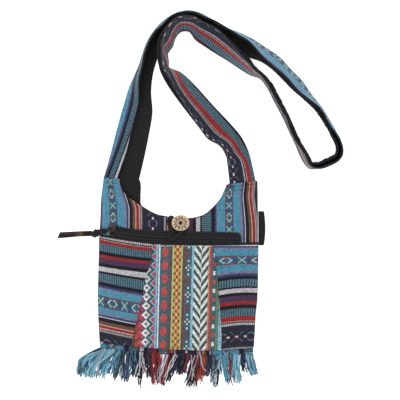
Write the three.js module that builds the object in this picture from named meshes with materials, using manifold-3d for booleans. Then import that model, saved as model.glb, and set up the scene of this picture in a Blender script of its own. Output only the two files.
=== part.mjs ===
// A small cotton crossbody bag, lying on its back with its strap laid in a loop.
// Millimetres. X runs across the bag, Y from the fringe to the strap, Z up from the table.
import * as THREE from "three";
import { mergeVertices } from "three/addons/utils/BufferGeometryUtils.js";
import Module from "manifold-3d";

const wasm = await Module();
wasm.setup();

// Walls and gaps
const GAP = 0.3;
const CLOTH = 1.5;
const LINING = 1.0;
const SEAM_Z = CLOTH + GAP;

// How far the front stands up from the seams, in the body and in the wings
const BODY_RISE = 9.5;
const BODY_RUN = 17;
const WING_RISE = 4.2;
const WING_RUN = 5;
const WING_FROM_Y = -26;
const WING_TO_Y = 14;

// The lining pouch stops short of the side and bottom seams
const LINING_INSET = 7;
const LINING_CLEAR = 0.6;

// Side seams of the bag, from the strap joins down to the fringe
const SIDES = [
  { y: 26, left: -107.5, right: 64.4 },
  { y: 0, left: -110, right: 64.8 },
  { y: -20, left: -110.5, right: 65.2 },
  { y: -40, left: -112.5, right: 65 },
  { y: -60, left: -113, right: 65 },
  { y: -110, left: -114, right: 63.5 },
  { y: -130, left: -113.5, right: 61.5 },
  { y: -170, left: -112, right: 59.5 },
];
const BOTTOM = [
  { x: -115, y: -161 },
  { x: -78, y: -164 },
  { x: -23, y: -168 },
  { x: 25, y: -168.5 },
  { x: 66, y: -165.5 },
];

// Upper ends of the wings: a straight line at each side, where the strap is sewn on
const LEFT_JOIN = { x: -107.5, y: 24.4, slope: -0.114 };
const RIGHT_JOIN = { x: 64.4, y: 20.1, slope: 0.12 };

// Necklines, from the left wing round to the right wing
const FRONT_NECK = [
  { x: -90.5, y: 30 },
  { x: -90, y: 18 },
  { x: -83.5, y: 6 },
  { x: -67.5, y: -6 },
  { x: -56, y: -13.5 },
  { x: -45, y: -18 },
  { x: -18, y: -21.5 },
  { x: -4.5, y: -20.3 },
  { x: 7, y: -15.8 },
  { x: 22.5, y: 0 },
  { x: 28, y: 12 },
  { x: 32, y: 24 },
];
const BACK_NECK = [
  { x: -68, y: 30 },
  { x: -66.5, y: 11 },
  { x: -67.5, y: 0 },
  { x: -64.5, y: -8 },
  { x: -56, y: -16 },
  { x: -43, y: -20.8 },
  { x: -18, y: -23.6 },
  { x: -3.5, y: -22.5 },
  { x: 8.5, y: -17.4 },
  { x: 25, y: -1 },
  { x: 30, y: 11 },
  { x: 34, y: 24 },
];
const NECK_STEPS = 30;

// Zip pocket: seams of its middle patch, and the line of its upper edge
const PATCH_SEAMS = [
  { y: -40, left: -54, right: 13.2 },
  { y: -66, left: -54, right: 16.8 },
  { y: -86, left: -60.5, right: 19.1 },
  { y: -106, left: -64, right: 20.7 },
  { y: -125, left: -68.5, right: 22.3 },
  { y: -145, left: -73, right: 23.6 },
  { y: -170, left: -78.5, right: 24.4 },
];
const POCKET_TOP = [
  { x: -115, y: -40.7 },
  { x: -55, y: -49.3 },
  { x: 14.5, y: -51.2 },
  { x: 66, y: -50.2 },
];
const POCKET_SWELL = 2.2;
const POCKET_SWELL_RUN = 30;

// Zip
const BINDING_WIDTH = 2.2;
const BINDING_WALL = 1.2;
const BINDING_LEFT = -110;
const TAPE_LEFT = -100.5;
const TAPE_RIGHT = 46;
const TAPE_TOP = [
  { x: -94, y: -29.5 },
  { x: -68, y: -33.2 },
  { x: 47, y: -36.6 },
];
const TAPE_WALL = 1;
const COIL_WIDTH = 5.5;
const COIL_HEIGHT = 1.5;
const COIL_STEPS = 12;
const COIL_PROFILE = [
  { across: -0.5, height: 1.1 },
  { across: -0.3, height: COIL_HEIGHT },
  { across: -0.06, height: COIL_HEIGHT },
  { across: 0, height: 1 },
  { across: 0.06, height: COIL_HEIGHT },
  { across: 0.3, height: COIL_HEIGHT },
  { across: 0.5, height: 1.1 },
];

// Slider and pull
const SLIDER = { x: -97.5, y: -32.7, length: 12, nose: 6.5, tail: 9.5, height: 2.2 };
const BRIDGE = { length: 8, width: 3, height: 2.4, wall: 0.9 };
const PULLER = { x: -108.4, y: -35, length: 9, width: 7, hole: 2, wall: 1.2 };
const KNOT = { x: -117.4, y: -37.2, radius: 4.4, height: 7.6 };
const THONG = [
  { x: -121.8, y: -38, z: 2.1, width: 4.6 },
  { x: -132, y: -38.2, z: 1.6, width: 4.7 },
  { x: -140, y: -38.5, z: 1.6, width: 4.8 },
  { x: -150, y: -39.2, z: 1.5, width: 5.2 },
  { x: -160.4, y: -39.9, z: 1.3, width: 5.4 },
];
const THONG_WALL = 2;

// Button and its loop
const BUTTON = { x: -21.7, y: -25.7, radius: 10, stem: 2.4, holeRadius: 1, holePitch: 3.6, lift: 4.6 };
const LOOP_WIDTH = 4.4;
const LOOP_WALL = 1.2;
const LOOP_ON_CLOTH = 1.1;
const LOOP_ON_ZIP = 2.8;
const LOOP_IN_MOUTH = 4;

// Label in the right side seam
const LABEL = { x: 65.6, y: -13.5, width: 7.2, length: 36.5, bow: 1, wall: 1.5, z: 1.6 };

// Strap: the strip is folded lengthwise, and each row is one cross-section on its way from the left wing
// round the loop to the right wing. x and y are on the fold's outline, facing is the direction in degrees
// from the fold to the open edges. The flap is the half that lies on top, the back half lies under it, and
// both are given as a length and a tilt from the table. lift is the height of the outline's underside.
const STRAP_WALL = 1;
const FOLD_RADIUS = 1.5;
const FOLD_STEPS = 3;
const STRAP = [
  { x: -107.4, y: 24.7, facing: -6.5, flap: 14, flapTilt: 3, back: 36, backTilt: 0, lift: 0 },
  { x: -98.4, y: 56, facing: -10, flap: 14, flapTilt: 4, back: 34.6, backTilt: 0, lift: 0 },
  { x: -93.6, y: 77.5, facing: -13, flap: 15, flapTilt: 8, back: 34, backTilt: 0, lift: 0 },
  { x: -85.5, y: 107, facing: -15, flap: 15, flapTilt: 20, back: 29, backTilt: 3, lift: 0 },
  { x: -78.4, y: 129.5, facing: -17, flap: 17, flapTilt: 55, back: 19.5, backTilt: 6, lift: 0 },
  { x: -68.8, y: 151, facing: -19, flap: 18, flapTilt: 84, back: 14, backTilt: 8, lift: 0 },
  { x: -59.6, y: 177.5, facing: -32, flap: 18, flapTilt: 89, back: 15, backTilt: 5, lift: 0 },
  { x: -46.9, y: 194.4, facing: -51, flap: 18, flapTilt: 90, back: 13, backTilt: 2, lift: 0 },
  { x: -31, y: 208.3, facing: -70, flap: 18, flapTilt: 90, back: 12, backTilt: 2, lift: 0 },
  { x: -15.8, y: 212.9, facing: -90, flap: 18, flapTilt: 90, back: 12, backTilt: 2, lift: 0 },
  { x: -2.3, y: 211.1, facing: -107, flap: 18, flapTilt: 90, back: 12, backTilt: 2, lift: 0 },
  { x: 11.3, y: 204.2, facing: -117, flap: 19, flapTilt: 90, back: 14, backTilt: 3, lift: 0 },
  { x: 28, y: 195, facing: -118, flap: 20, flapTilt: 88, back: 15, backTilt: 5, lift: 0 },
  { x: 45, y: 188.3, facing: -117, flap: 22, flapTilt: 82, back: 16, backTilt: 8, lift: 0 },
  { x: 58.5, y: 182, facing: -117, flap: 24, flapTilt: 75, back: 18, backTilt: 18, lift: 0 },
  { x: 74.3, y: 171.5, facing: -123, flap: 26, flapTilt: 66, back: 22, backTilt: 53, lift: 0 },
  { x: 89.3, y: 161.3, facing: -128, flap: 26, flapTilt: 62, back: 25, backTilt: 62, lift: 0 },
  { x: 102.9, y: 146.7, facing: -132, flap: 26, flapTilt: 66, back: 25, backTilt: 67, lift: 0 },
  { x: 114.1, y: 135.4, facing: -136, flap: 26, flapTilt: 69, back: 25, backTilt: 70, lift: 0 },
  { x: 126.7, y: 116.7, facing: -146, flap: 26, flapTilt: 76, back: 25, backTilt: 76, lift: 0 },
  { x: 137.4, y: 103.1, facing: -150, flap: 26, flapTilt: 82, back: 25, backTilt: 80, lift: 0 },
  { x: 147.4, y: 85.7, facing: -155, flap: 26, flapTilt: 87, back: 25, backTilt: 82, lift: 0 },
  { x: 152.9, y: 74, facing: -160, flap: 26, flapTilt: 91, back: 25, backTilt: 82, lift: 0 },
  { x: 158, y: 65, facing: -172, flap: 26, flapTilt: 92, back: 25, backTilt: 82, lift: 0 },
  { x: 159.6, y: 57, facing: -182, flap: 26, flapTilt: 92, back: 25, backTilt: 82, lift: 0 },
  { x: 157.9, y: 48.9, facing: -200, flap: 26, flapTilt: 92, back: 25, backTilt: 81, lift: 0 },
  { x: 152.6, y: 42.6, facing: -222, flap: 26, flapTilt: 92, back: 25, backTilt: 80, lift: 0 },
  { x: 143.4, y: 38.3, facing: -246, flap: 26, flapTilt: 92, back: 25, backTilt: 81, lift: 0 },
  { x: 133, y: 35.6, facing: -258, flap: 26, flapTilt: 90, back: 25, backTilt: 84, lift: 0 },
  { x: 123.2, y: 35.4, facing: -287, flap: 26, flapTilt: 87, back: 25, backTilt: 85, lift: 0 },
  { x: 115.9, y: 42.3, facing: -322, flap: 26, flapTilt: 87, back: 25, backTilt: 87, lift: 0 },
  { x: 112.3, y: 50.1, facing: -336, flap: 26, flapTilt: 87, back: 25, backTilt: 87, lift: 0 },
  { x: 107.4, y: 62.5, facing: -338, flap: 26, flapTilt: 88, back: 25, backTilt: 88, lift: 0 },
  { x: 100.8, y: 77, facing: -338, flap: 26, flapTilt: 88, back: 25, backTilt: 88, lift: 0 },
  { x: 93.5, y: 92.9, facing: -333, flap: 26, flapTilt: 87.5, back: 25, backTilt: 87.5, lift: 0 },
  { x: 83.2, y: 112, facing: -331, flap: 26, flapTilt: 87.5, back: 25, backTilt: 87.5, lift: 0 },
  { x: 74.6, y: 126.5, facing: -322, flap: 26, flapTilt: 86, back: 25, backTilt: 86, lift: 0 },
  { x: 67, y: 136, facing: -303, flap: 26, flapTilt: 80, back: 25, backTilt: 80, lift: 0 },
  { x: 56.6, y: 140.4, facing: -300, flap: 26, flapTilt: 70, back: 25, backTilt: 70, lift: 0 },
  { x: 46.9, y: 146.1, facing: -300, flap: 26, flapTilt: 61, back: 25, backTilt: 61, lift: 0 },
  { x: 33.4, y: 155.1, facing: -300, flap: 26, flapTilt: 56, back: 25, backTilt: 56, lift: 0 },
  { x: 17.9, y: 164.7, facing: -299, flap: 26, flapTilt: 40, back: 25, backTilt: 40, lift: 0 },
  { x: 6.4, y: 171.4, facing: -296, flap: 26, flapTilt: 30, back: 25, backTilt: 30, lift: 2 },
  { x: -5, y: 179.2, facing: -290, flap: 24, flapTilt: 36, back: 23, backTilt: 36, lift: 4 },
  { x: -12.2, y: 189, facing: -276, flap: 22, flapTilt: 58, back: 21, backTilt: 58, lift: 4 },
  { x: -21.3, y: 189, facing: -262, flap: 22, flapTilt: 59, back: 21, backTilt: 59, lift: 4 },
  { x: -27.5, y: 181, facing: -243, flap: 23, flapTilt: 55, back: 22, backTilt: 55, lift: 4 },
  { x: -31, y: 171.6, facing: -231, flap: 25, flapTilt: 50, back: 24, backTilt: 50, lift: 4 },
  { x: -36.2, y: 164.6, facing: -211, flap: 24, flapTilt: 66, back: 23, backTilt: 66, lift: 3 },
  { x: -35.2, y: 155.3, facing: -192, flap: 25, flapTilt: 71, back: 24, backTilt: 71, lift: 2 },
  { x: -34.2, y: 148.6, facing: -180, flap: 25, flapTilt: 74, back: 24, backTilt: 74, lift: 0 },
  { x: -21.4, y: 142.8, facing: -158, flap: 26, flapTilt: 56, back: 25, backTilt: 56, lift: 0 },
  { x: -7.7, y: 130.2, facing: -152, flap: 26, flapTilt: 42, back: 25, backTilt: 42, lift: 0 },
  { x: 13.4, y: 106.8, facing: -146, flap: 26, flapTilt: 28, back: 25, backTilt: 28, lift: 0 },
  { x: 34.2, y: 84.8, facing: -148, flap: 27.2, flapTilt: 10, back: 26, backTilt: 9, lift: 0 },
  { x: 46.7, y: 70.9, facing: -156, flap: 25.2, flapTilt: 16, back: 24, backTilt: 14, lift: 0 },
  { x: 54, y: 56.3, facing: -163, flap: 22.7, flapTilt: 16, back: 22, backTilt: 13, lift: 0 },
  { x: 57.4, y: 45, facing: -167, flap: 23.6, flapTilt: 10, back: 23, backTilt: 7, lift: 0 },
  { x: 62.8, y: 20.7, facing: -173, flap: 27, flapTilt: 3, back: 26, backTilt: 0, lift: 0 },
];

// Fringe: a woven head along the bottom seam and a row for each lock that hangs from it
const FRINGE_HEAD = 7;
const FRINGE_WALL = 2.6;
const FRINGE_Z = 0.3;
const LOCK_SIDES = 6;
const LOCK_STEPS = 3;
const LOCKS = [
  { root: -109, tipX: -136, tipY: -196, width: 9 },
  { root: -103, tipX: -124, tipY: -200, width: 9 },
  { root: -97, tipX: -111, tipY: -201, width: 9 },
  { root: -91, tipX: -99, tipY: -193.5, width: 7 },
  { root: -85, tipX: -89, tipY: -203.5, width: 8 },
  { root: -79, tipX: -81, tipY: -202.5, width: 7 },
  { root: -71, tipX: -68.5, tipY: -212.5, width: 6.5 },
  { root: -63, tipX: -62, tipY: -206, width: 8 },
  { root: -53, tipX: -52, tipY: -206, width: 8 },
  { root: -38, tipX: -47, tipY: -211.5, width: 8 },
  { root: -31.5, tipX: -36, tipY: -198, width: 8 },
  { root: -22.5, tipX: -21.5, tipY: -196, width: 8 },
  { root: -13.5, tipX: -12.5, tipY: -211.5, width: 7 },
  { root: -4.5, tipX: -4.5, tipY: -208, width: 8 },
  { root: 5, tipX: 2.5, tipY: -211.5, width: 5 },
  { root: 13.5, tipX: 13.5, tipY: -211.5, width: 6 },
  { root: 19, tipX: 19, tipY: -213, width: 4 },
  { root: 24.5, tipX: 22.5, tipY: -198, width: 9 },
  { root: 31.5, tipX: 32.5, tipY: -205, width: 8 },
  { root: 41.5, tipX: 43, tipY: -205, width: 9 },
  { root: 51, tipX: 53, tipY: -197, width: 7 },
  { root: 56.5, tipX: 61, tipY: -199, width: 7 },
];

// Value of a table's column at a place along its key column, with straight stretches between rows
function along(table, key, at, column) {
  const rising = table[table.length - 1][key] > table[0][key];
  const rows = rising ? table : [...table].reverse();
  let i = 1;
  while (i < rows.length - 1 && rows[i][key] < at) i += 1;
  const t = (at - rows[i - 1][key]) / (rows[i][key] - rows[i - 1][key]);
  return THREE.MathUtils.lerp(rows[i - 1][column], rows[i][column], THREE.MathUtils.clamp(t, 0, 1));
}

// Outline of the bag
const leftSide = (y) => along(SIDES, "y", y, "left");
const rightSide = (y) => along(SIDES, "y", y, "right");
const bottomEdge = (x) => along(BOTTOM, "x", x, "y");
const pocketTop = (x) => along(POCKET_TOP, "x", x, "y");
const tapeTop = (x) => along(TAPE_TOP, "x", x, "y");
const joinLine = (join, x) => join.y + join.slope * (x - join.x);
const wingTop = (x) => Math.max(joinLine(LEFT_JOIN, x), joinLine(RIGHT_JOIN, x));

// Underside of the front panel: it leaves the seams steeply and flattens out, less so in the wings
function frontUnder(x, y) {
  const wing = THREE.MathUtils.smoothstep(y, WING_FROM_Y, WING_TO_Y);
  const rise = THREE.MathUtils.lerp(BODY_RISE, WING_RISE, wing);
  const run = THREE.MathUtils.lerp(BODY_RUN, WING_RUN, wing);
  const side = Math.max(0, Math.min(x - leftSide(y), rightSide(y) - x));
  const foot = Math.max(0, y - bottomEdge(x));
  return SEAM_Z + rise * (1 - Math.exp(-side / run)) * (1 - Math.exp(-foot / run));
}
const frontTop = (x, y) => frontUnder(x, y) + CLOTH;

// Underside of the pocket cloth, which swells a little over the front panel
function pocketUnder(x, y) {
  const side = Math.max(0, Math.min(x - leftSide(y), rightSide(y) - x));
  const foot = Math.max(0, y - bottomEdge(x));
  const head = Math.max(0, pocketTop(x) - y);
  const room = Math.min(side, foot, head) / POCKET_SWELL_RUN;
  return frontTop(x, y) + GAP + POCKET_SWELL * (1 - Math.exp(-room));
}

// Closed mesh from points and faces of any number of corners
function solidGeometry(points, faces) {
  const index = [];
  for (const face of faces) {
    for (let i = 2; i < face.length; i += 1) index.push(face[0], face[i - 1], face[i]);
  }
  const geometry = new THREE.BufferGeometry();
  geometry.setAttribute("position", new THREE.Float32BufferAttribute(points.flat(), 3));
  geometry.setIndex(index);
  return geometry;
}

// Closed tube through rings of equal length, given from one end to the other, with each four-cornered
// face split along its shorter diagonal, and its ends filled in strips across the ring
function ringGeometry(rings) {
  const n = rings[0].length;
  const points = rings.flat();
  const apart = (a, b) => Math.hypot(...points[a].map((v, k) => v - points[b][k]));
  const faces = [];
  for (let r = 1; r < rings.length; r += 1) {
    for (let i = 0; i < n; i += 1) {
      const j = (i + 1) % n;
      const quad = [(r - 1) * n + i, (r - 1) * n + j, r * n + j, r * n + i];
      const turn = apart(quad[0], quad[2]) <= apart(quad[1], quad[3]) ? 0 : 1;
      faces.push([...quad.slice(turn), ...quad.slice(0, turn)]);
    }
  }
  const last = (rings.length - 1) * n;
  for (let i = 0; i < n / 2 - 1; i += 1) {
    const strip = [i, i + 1, n - 2 - i, n - 1 - i];
    faces.push([...strip].reverse());
    faces.push(strip.map((k) => last + k));
  }
  return solidGeometry(points, faces);
}

// Columns stand closer at both sides of a wall, where the cloth bends most
const closeAtEnds = (u) => (1 - Math.cos(Math.PI * u)) / 2;

// Cloth wall between two heights, over a patch with straight rows from its left to its right edge
function wallGeometry(patch, under, top, across, rows) {
  const points = [];
  const width = across + 1;
  for (const height of [under, top]) {
    for (let r = 0; r <= rows; r += 1) {
      for (let c = 0; c <= across; c += 1) {
        const [x, y] = patch(closeAtEnds(c / across), r / rows);
        points.push([x, y, height(x, y)]);
      }
    }
  }
  const layer = width * (rows + 1);
  const faces = [];
  for (let r = 0; r < rows; r += 1) {
    for (let c = 0; c < across; c += 1) {
      const a = r * width + c;
      faces.push([a, a + width, a + width + 1, a + 1]);
      faces.push([layer + a, layer + a + 1, layer + a + width + 1, layer + a + width]);
    }
  }
  const rim = [];
  for (let c = 0; c < across; c += 1) rim.push(c);
  for (let r = 0; r < rows; r += 1) rim.push(r * width + across);
  for (let c = across; c > 0; c -= 1) rim.push(rows * width + c);
  for (let r = rows; r > 0; r -= 1) rim.push(r * width);
  rim.forEach((a, i) => {
    const b = rim[(i + 1) % rim.length];
    faces.push([a, b, layer + b, layer + a]);
  });
  return solidGeometry(points, faces);
}

// Patch between two side lines, from a lower to an upper line
function patchBetween(left, right, lower, upper) {
  return (u, v) => {
    let x = THREE.MathUtils.lerp(left(lower(0)), right(lower(0)), u);
    let y = 0;
    for (let pass = 0; pass < 4; pass += 1) {
      y = THREE.MathUtils.lerp(lower(x), upper(x), v);
      x = THREE.MathUtils.lerp(left(y), right(y), u);
    }
    return [x, y];
  };
}

// Joins and cuts
function toManifold(geometry) {
  const bare = geometry.clone();
  bare.deleteAttribute("normal");
  bare.deleteAttribute("uv");
  const merged = mergeVertices(bare, 1e-4);
  const vertProperties = new Float32Array(merged.attributes.position.array);
  const triVerts = new Uint32Array(merged.index.array);
  return new wasm.Manifold(new wasm.Mesh({ numProp: 3, vertProperties, triVerts }));
}
function toGeometry(manifold) {
  const mesh = manifold.getMesh();
  const geometry = new THREE.BufferGeometry();
  geometry.setAttribute("position", new THREE.BufferAttribute(new Float32Array(mesh.vertProperties), 3));
  geometry.setIndex(new THREE.BufferAttribute(new Uint32Array(mesh.triVerts), 1));
  return geometry;
}
const joined = (geometries) => toGeometry(geometries.map(toManifold).reduce((a, b) => a.add(b)));
const cut = (geometry, cutters) =>
  toGeometry(cutters.map(toManifold).reduce((a, b) => a.subtract(b), toManifold(geometry)));

// Straight-sided solid over a flat outline
function extruded(shape, bottom, top, curveSegments = 8) {
  const options = { depth: top - bottom, bevelEnabled: false, curveSegments };
  return new THREE.ExtrudeGeometry(shape, options).translate(0, 0, bottom);
}

// Turned solid about an upright axis
const latheUp = (profile, sides) =>
  new THREE.LatheGeometry(profile.map((p) => new THREE.Vector2(p.r, p.z)), sides).rotateX(Math.PI / 2);

// Cutter for the hollow of a neckline, open towards the strap
function neckCutter(neck, bottom, top) {
  const above = 60;
  const curve = new THREE.SplineCurve(neck.map((p) => new THREE.Vector2(p.x, p.y)));
  const shape = new THREE.Shape(curve.getPoints(NECK_STEPS));
  shape.lineTo(neck[neck.length - 1].x, above);
  shape.lineTo(neck[0].x, above);
  return extruded(shape, bottom, top);
}

// Ribbon along a path, lying flat
function ribbonGeometry(path, width, wall) {
  const rings = path.map((p, i) => {
    const before = path[Math.max(0, i - 1)];
    const after = path[Math.min(path.length - 1, i + 1)];
    const run = new THREE.Vector3().subVectors(after, before).normalize();
    const side = new THREE.Vector3(-run.y, run.x, 0).normalize();
    const up = new THREE.Vector3().crossVectors(run, side);
    const half = (p.width ?? width) / 2;
    return [[1, -1], [1, 1], [-1, 1], [-1, -1]].map(([s, h]) => {
      const q = p.clone().addScaledVector(side, s * half).addScaledVector(up, (h * wall) / 2);
      return q.toArray();
    });
  });
  return ringGeometry(rings);
}

// Bag body
function backPanel() {
  const patch = patchBetween(leftSide, rightSide, bottomEdge, wingTop);
  const wall = wallGeometry(patch, () => 0, () => CLOTH, 8, 10);
  return cut(wall, [neckCutter(BACK_NECK, -1, SEAM_Z)]);
}
function frontPanel() {
  const patch = patchBetween(leftSide, rightSide, bottomEdge, wingTop);
  const wall = wallGeometry(patch, frontUnder, frontTop, 18, 14);
  return cut(wall, [neckCutter(FRONT_NECK, 0, 30)]);
}
function bagLining() {
  const inner = (inset, openEnd) => patchBetween(
    (y) => leftSide(y) + inset,
    (y) => rightSide(y) - inset,
    (x) => bottomEdge(x) + inset,
    (x) => wingTop(x) + openEnd,
  );
  const floor = SEAM_Z + LINING;
  const top = (x, y) => frontUnder(x, y) - LINING_CLEAR;
  const outside = wallGeometry(inner(LINING_INSET, 0), () => SEAM_Z, top, 14, 11);
  const roof = (x, y) => Math.max(floor + GAP, top(x, y) - LINING);
  const hollow = wallGeometry(inner(LINING_INSET + LINING, 1), () => floor, roof, 14, 11);
  const middle = floor + GAP / 2;
  return cut(outside, [hollow, neckCutter(BACK_NECK, 0, middle), neckCutter(FRONT_NECK, middle, 30)]);
}

// Zip pocket
function pocketPiece(left, right, across) {
  const patch = patchBetween(left, right, bottomEdge, pocketTop);
  return wallGeometry(patch, pocketUnder, (x, y) => pocketUnder(x, y) + CLOTH, across, 9);
}
const patchLeft = (y) => along(PATCH_SEAMS, "y", y, "left");
const patchRight = (y) => along(PATCH_SEAMS, "y", y, "right");

function pocketBinding() {
  const lower = (x) => pocketTop(x) + GAP;
  const patch = patchBetween(() => BINDING_LEFT, (y) => rightSide(y), lower, (x) => lower(x) + BINDING_WIDTH);
  const under = (x, y) => frontTop(x, y) + GAP;
  return wallGeometry(patch, under, (x, y) => under(x, y) + BINDING_WALL, 20, 1);
}
function zipTape() {
  const lower = (x) => pocketTop(x) + BINDING_WIDTH + 2 * GAP;
  const patch = patchBetween(() => TAPE_LEFT, () => TAPE_RIGHT, lower, tapeTop);
  const under = (x, y) => frontTop(x, y) + GAP;
  return wallGeometry(patch, under, (x, y) => under(x, y) + TAPE_WALL, 18, 3);
}
const zipMiddle = (x) => (tapeTop(x) + pocketTop(x) + BINDING_WIDTH) / 2;

function zipCoil() {
  const start = SLIDER.x + SLIDER.length / 2 + GAP;
  const end = TAPE_RIGHT - 2;
  const rings = [];
  for (let i = 0; i <= COIL_STEPS; i += 1) {
    const x = THREE.MathUtils.lerp(start, end, i / COIL_STEPS);
    const middle = zipMiddle(x);
    const seat = frontTop(x, middle) + TAPE_WALL + 2.5 * GAP;
    const under = COIL_PROFILE.map((p) => [x, middle + p.across * COIL_WIDTH, seat]);
    const over = COIL_PROFILE.map((p) => [x, middle + p.across * COIL_WIDTH, seat + p.height]);
    rings.push([...under, ...over.reverse()]);
  }
  return ringGeometry(rings);
}

// A group that lies on the front at a slope, with its local XY plane clear of the cloth below it
function seated(place, clear, mesh) {
  const half = place.length / 2;
  const { x, y } = place;
  const left = frontTop(x - half, y);
  const right = frontTop(x + half, y);
  const sideways = 5;
  const steps = 8;
  let rise = 0;
  for (let i = 0; i <= steps; i += 1) {
    const t = i / steps;
    const chord = THREE.MathUtils.lerp(left, right, t);
    const under = x + (2 * t - 1) * half;
    rise = Math.max(rise, frontTop(under, y + sideways) - chord, frontTop(under, y - sideways) - chord);
  }
  const group = new THREE.Group();
  group.position.set(x, y, (left + right) / 2 + rise + clear);
  group.rotation.y = -Math.atan2(right - left, place.length);
  group.add(mesh);
  return group;
}

function sliderGeometry() {
  const half = SLIDER.length / 2;
  const shape = new THREE.Shape();
  shape.moveTo(-half, -SLIDER.nose / 2);
  shape.lineTo(half, -SLIDER.tail / 2);
  shape.lineTo(half - 1.5, 0);
  shape.lineTo(half, SLIDER.tail / 2);
  shape.lineTo(-half, SLIDER.nose / 2);
  shape.quadraticCurveTo(-half - 1.2, 0, -half, -SLIDER.nose / 2);
  const body = extruded(shape, 0, SLIDER.height, 4);
  const arch = new THREE.Shape();
  arch.moveTo(-BRIDGE.length / 2, 0);
  arch.lineTo(-BRIDGE.length / 2, BRIDGE.height * 0.6);
  arch.quadraticCurveTo(0, BRIDGE.height * 1.4, BRIDGE.length / 2, BRIDGE.height * 0.6);
  arch.lineTo(BRIDGE.length / 2, 0);
  const inside = new THREE.Path();
  inside.moveTo(-BRIDGE.length / 2 + BRIDGE.wall, BRIDGE.wall);
  inside.lineTo(BRIDGE.length / 2 - BRIDGE.wall, BRIDGE.wall);
  inside.lineTo(BRIDGE.length / 2 - BRIDGE.wall, BRIDGE.height * 0.5);
  inside.lineTo(-BRIDGE.length / 2 + BRIDGE.wall, BRIDGE.height * 0.5);
  arch.holes.push(inside);
  const bridge = extruded(arch, -BRIDGE.width / 2, BRIDGE.width / 2, 4);
  bridge.rotateX(Math.PI / 2);
  bridge.translate(0, 0, SLIDER.height - 0.2);
  return joined([body, bridge]);
}

function pullerGeometry() {
  const half = PULLER.length / 2;
  const shape = new THREE.Shape();
  shape.moveTo(half, -PULLER.width * 0.36);
  shape.lineTo(half, PULLER.width * 0.36);
  shape.lineTo(-half + 2, PULLER.width / 2);
  shape.quadraticCurveTo(-half, PULLER.width / 2, -half, PULLER.width / 2 - 2);
  shape.lineTo(-half, -PULLER.width / 2 + 2);
  shape.quadraticCurveTo(-half, -PULLER.width / 2, -half + 2, -PULLER.width / 2);
  const eye = new THREE.Path();
  eye.absellipse(-half + 3.4, 0, PULLER.hole * 0.8, PULLER.hole, 0, Math.PI * 2);
  shape.holes.push(eye);
  const window = new THREE.Path();
  window.absellipse(half - 2, 0, 1, 1.6, 0, Math.PI * 2);
  shape.holes.push(window);
  return extruded(shape, 0, PULLER.wall, 4);
}

function knotGeometry() {
  const half = KNOT.height / 2;
  const lathe = latheUp([
    { r: 0, z: -half },
    { r: KNOT.radius * 0.6, z: -half * 0.86 },
    { r: KNOT.radius * 0.95, z: -half * 0.45 },
    { r: KNOT.radius, z: 0 },
    { r: KNOT.radius * 0.9, z: half * 0.5 },
    { r: KNOT.radius * 0.55, z: half * 0.88 },
    { r: 0, z: half },
  ], 10);
  return lathe.translate(KNOT.x, KNOT.y, half + GAP);
}

function thongGeometry() {
  const path = THONG.map((p) => Object.assign(new THREE.Vector3(p.x, p.y, p.z), { width: p.width }));
  return ribbonGeometry(path, THONG[0].width, THONG_WALL);
}

// Button: a turned disc with a rim, a ring groove and a dished middle, on a stem of thread
function buttonGeometry() {
  const { radius, stem, lift, holeRadius, holePitch } = BUTTON;
  const foot = GAP - lift;
  const disc = latheUp([
    { r: 0, z: foot },
    { r: stem, z: foot },
    { r: stem, z: 0 },
    { r: radius * 0.86, z: 0 },
    { r: radius, z: 1.2 },
    { r: radius * 0.96, z: 2.4 },
    { r: radius * 0.84, z: 2.9 },
    { r: radius * 0.58, z: 2.9 },
    { r: radius * 0.53, z: 2.4 },
    { r: radius * 0.48, z: 2.7 },
    { r: radius * 0.3, z: 2.2 },
    { r: 0, z: 2.1 },
  ], 28);
  const holes = [-0.5, 0.5].map((k) => {
    const drill = new THREE.CylinderGeometry(holeRadius, holeRadius, 3, 10);
    return drill.rotateX(Math.PI / 2).translate(0, k * holePitch, 2);
  });
  return cut(disc, holes).translate(BUTTON.x, BUTTON.y, frontTop(BUTTON.x, BUTTON.y) + lift);
}

// Loop: from the lining in the mouth, over the neckline, round the button's stem and back again
function loopGeometry() {
  const route = [
    { x: -30, y: -31, seat: "mouth" },
    { x: -30, y: -22, seat: "mouth" },
    { x: -30.7, y: -16.8, seat: "bend" },
    { x: -31.9, y: -18.2, seat: "edge" },
    { x: -34.4, y: -23.6, seat: "cloth" },
    { x: -36, y: -30, seat: "cloth" },
    { x: -36.6, y: -37, seat: "zip" },
    { x: -33.5, y: -42.2, seat: "zip" },
    { x: -27.5, y: -41, seat: "zip" },
    { x: -20.5, y: -37.4, seat: "zip" },
    { x: -16.5, y: -32, seat: "cloth" },
    { x: -15.6, y: -25.5, seat: "cloth" },
    { x: -17.5, y: -20, seat: "edge" },
    { x: -19, y: -18, seat: "bend" },
    { x: -20, y: -23, seat: "mouth" },
    { x: -20.5, y: -32, seat: "mouth" },
  ];
  const height = {
    mouth: () => LOOP_IN_MOUTH,
    bend: (x, y) => (LOOP_IN_MOUTH + frontTop(x, y) + LOOP_ON_CLOTH) / 2,
    edge: (x, y) => frontTop(x, y) + LOOP_ON_CLOTH,
    cloth: (x, y) => frontTop(x, y) + LOOP_ON_CLOTH,
    zip: (x, y) => frontTop(x, y) + LOOP_ON_ZIP + COIL_HEIGHT,
  };
  const knots = route.map((p) => new THREE.Vector3(p.x, p.y, height[p.seat](p.x, p.y)));
  const path = new THREE.CatmullRomCurve3(knots, false, "centripetal").getPoints(34);
  return ribbonGeometry(path, LOOP_WIDTH, LOOP_WALL);
}

function labelGeometry() {
  const shape = new THREE.Shape();
  shape.moveTo(0, 0);
  shape.lineTo(LABEL.width - LABEL.bow, 0);
  shape.quadraticCurveTo(LABEL.width + LABEL.bow, -LABEL.length / 2, LABEL.width - LABEL.bow, -LABEL.length);
  shape.lineTo(0, -LABEL.length);
  return extruded(shape, LABEL.z, LABEL.z + LABEL.wall, 6).translate(LABEL.x, LABEL.y, 0);
}

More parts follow.
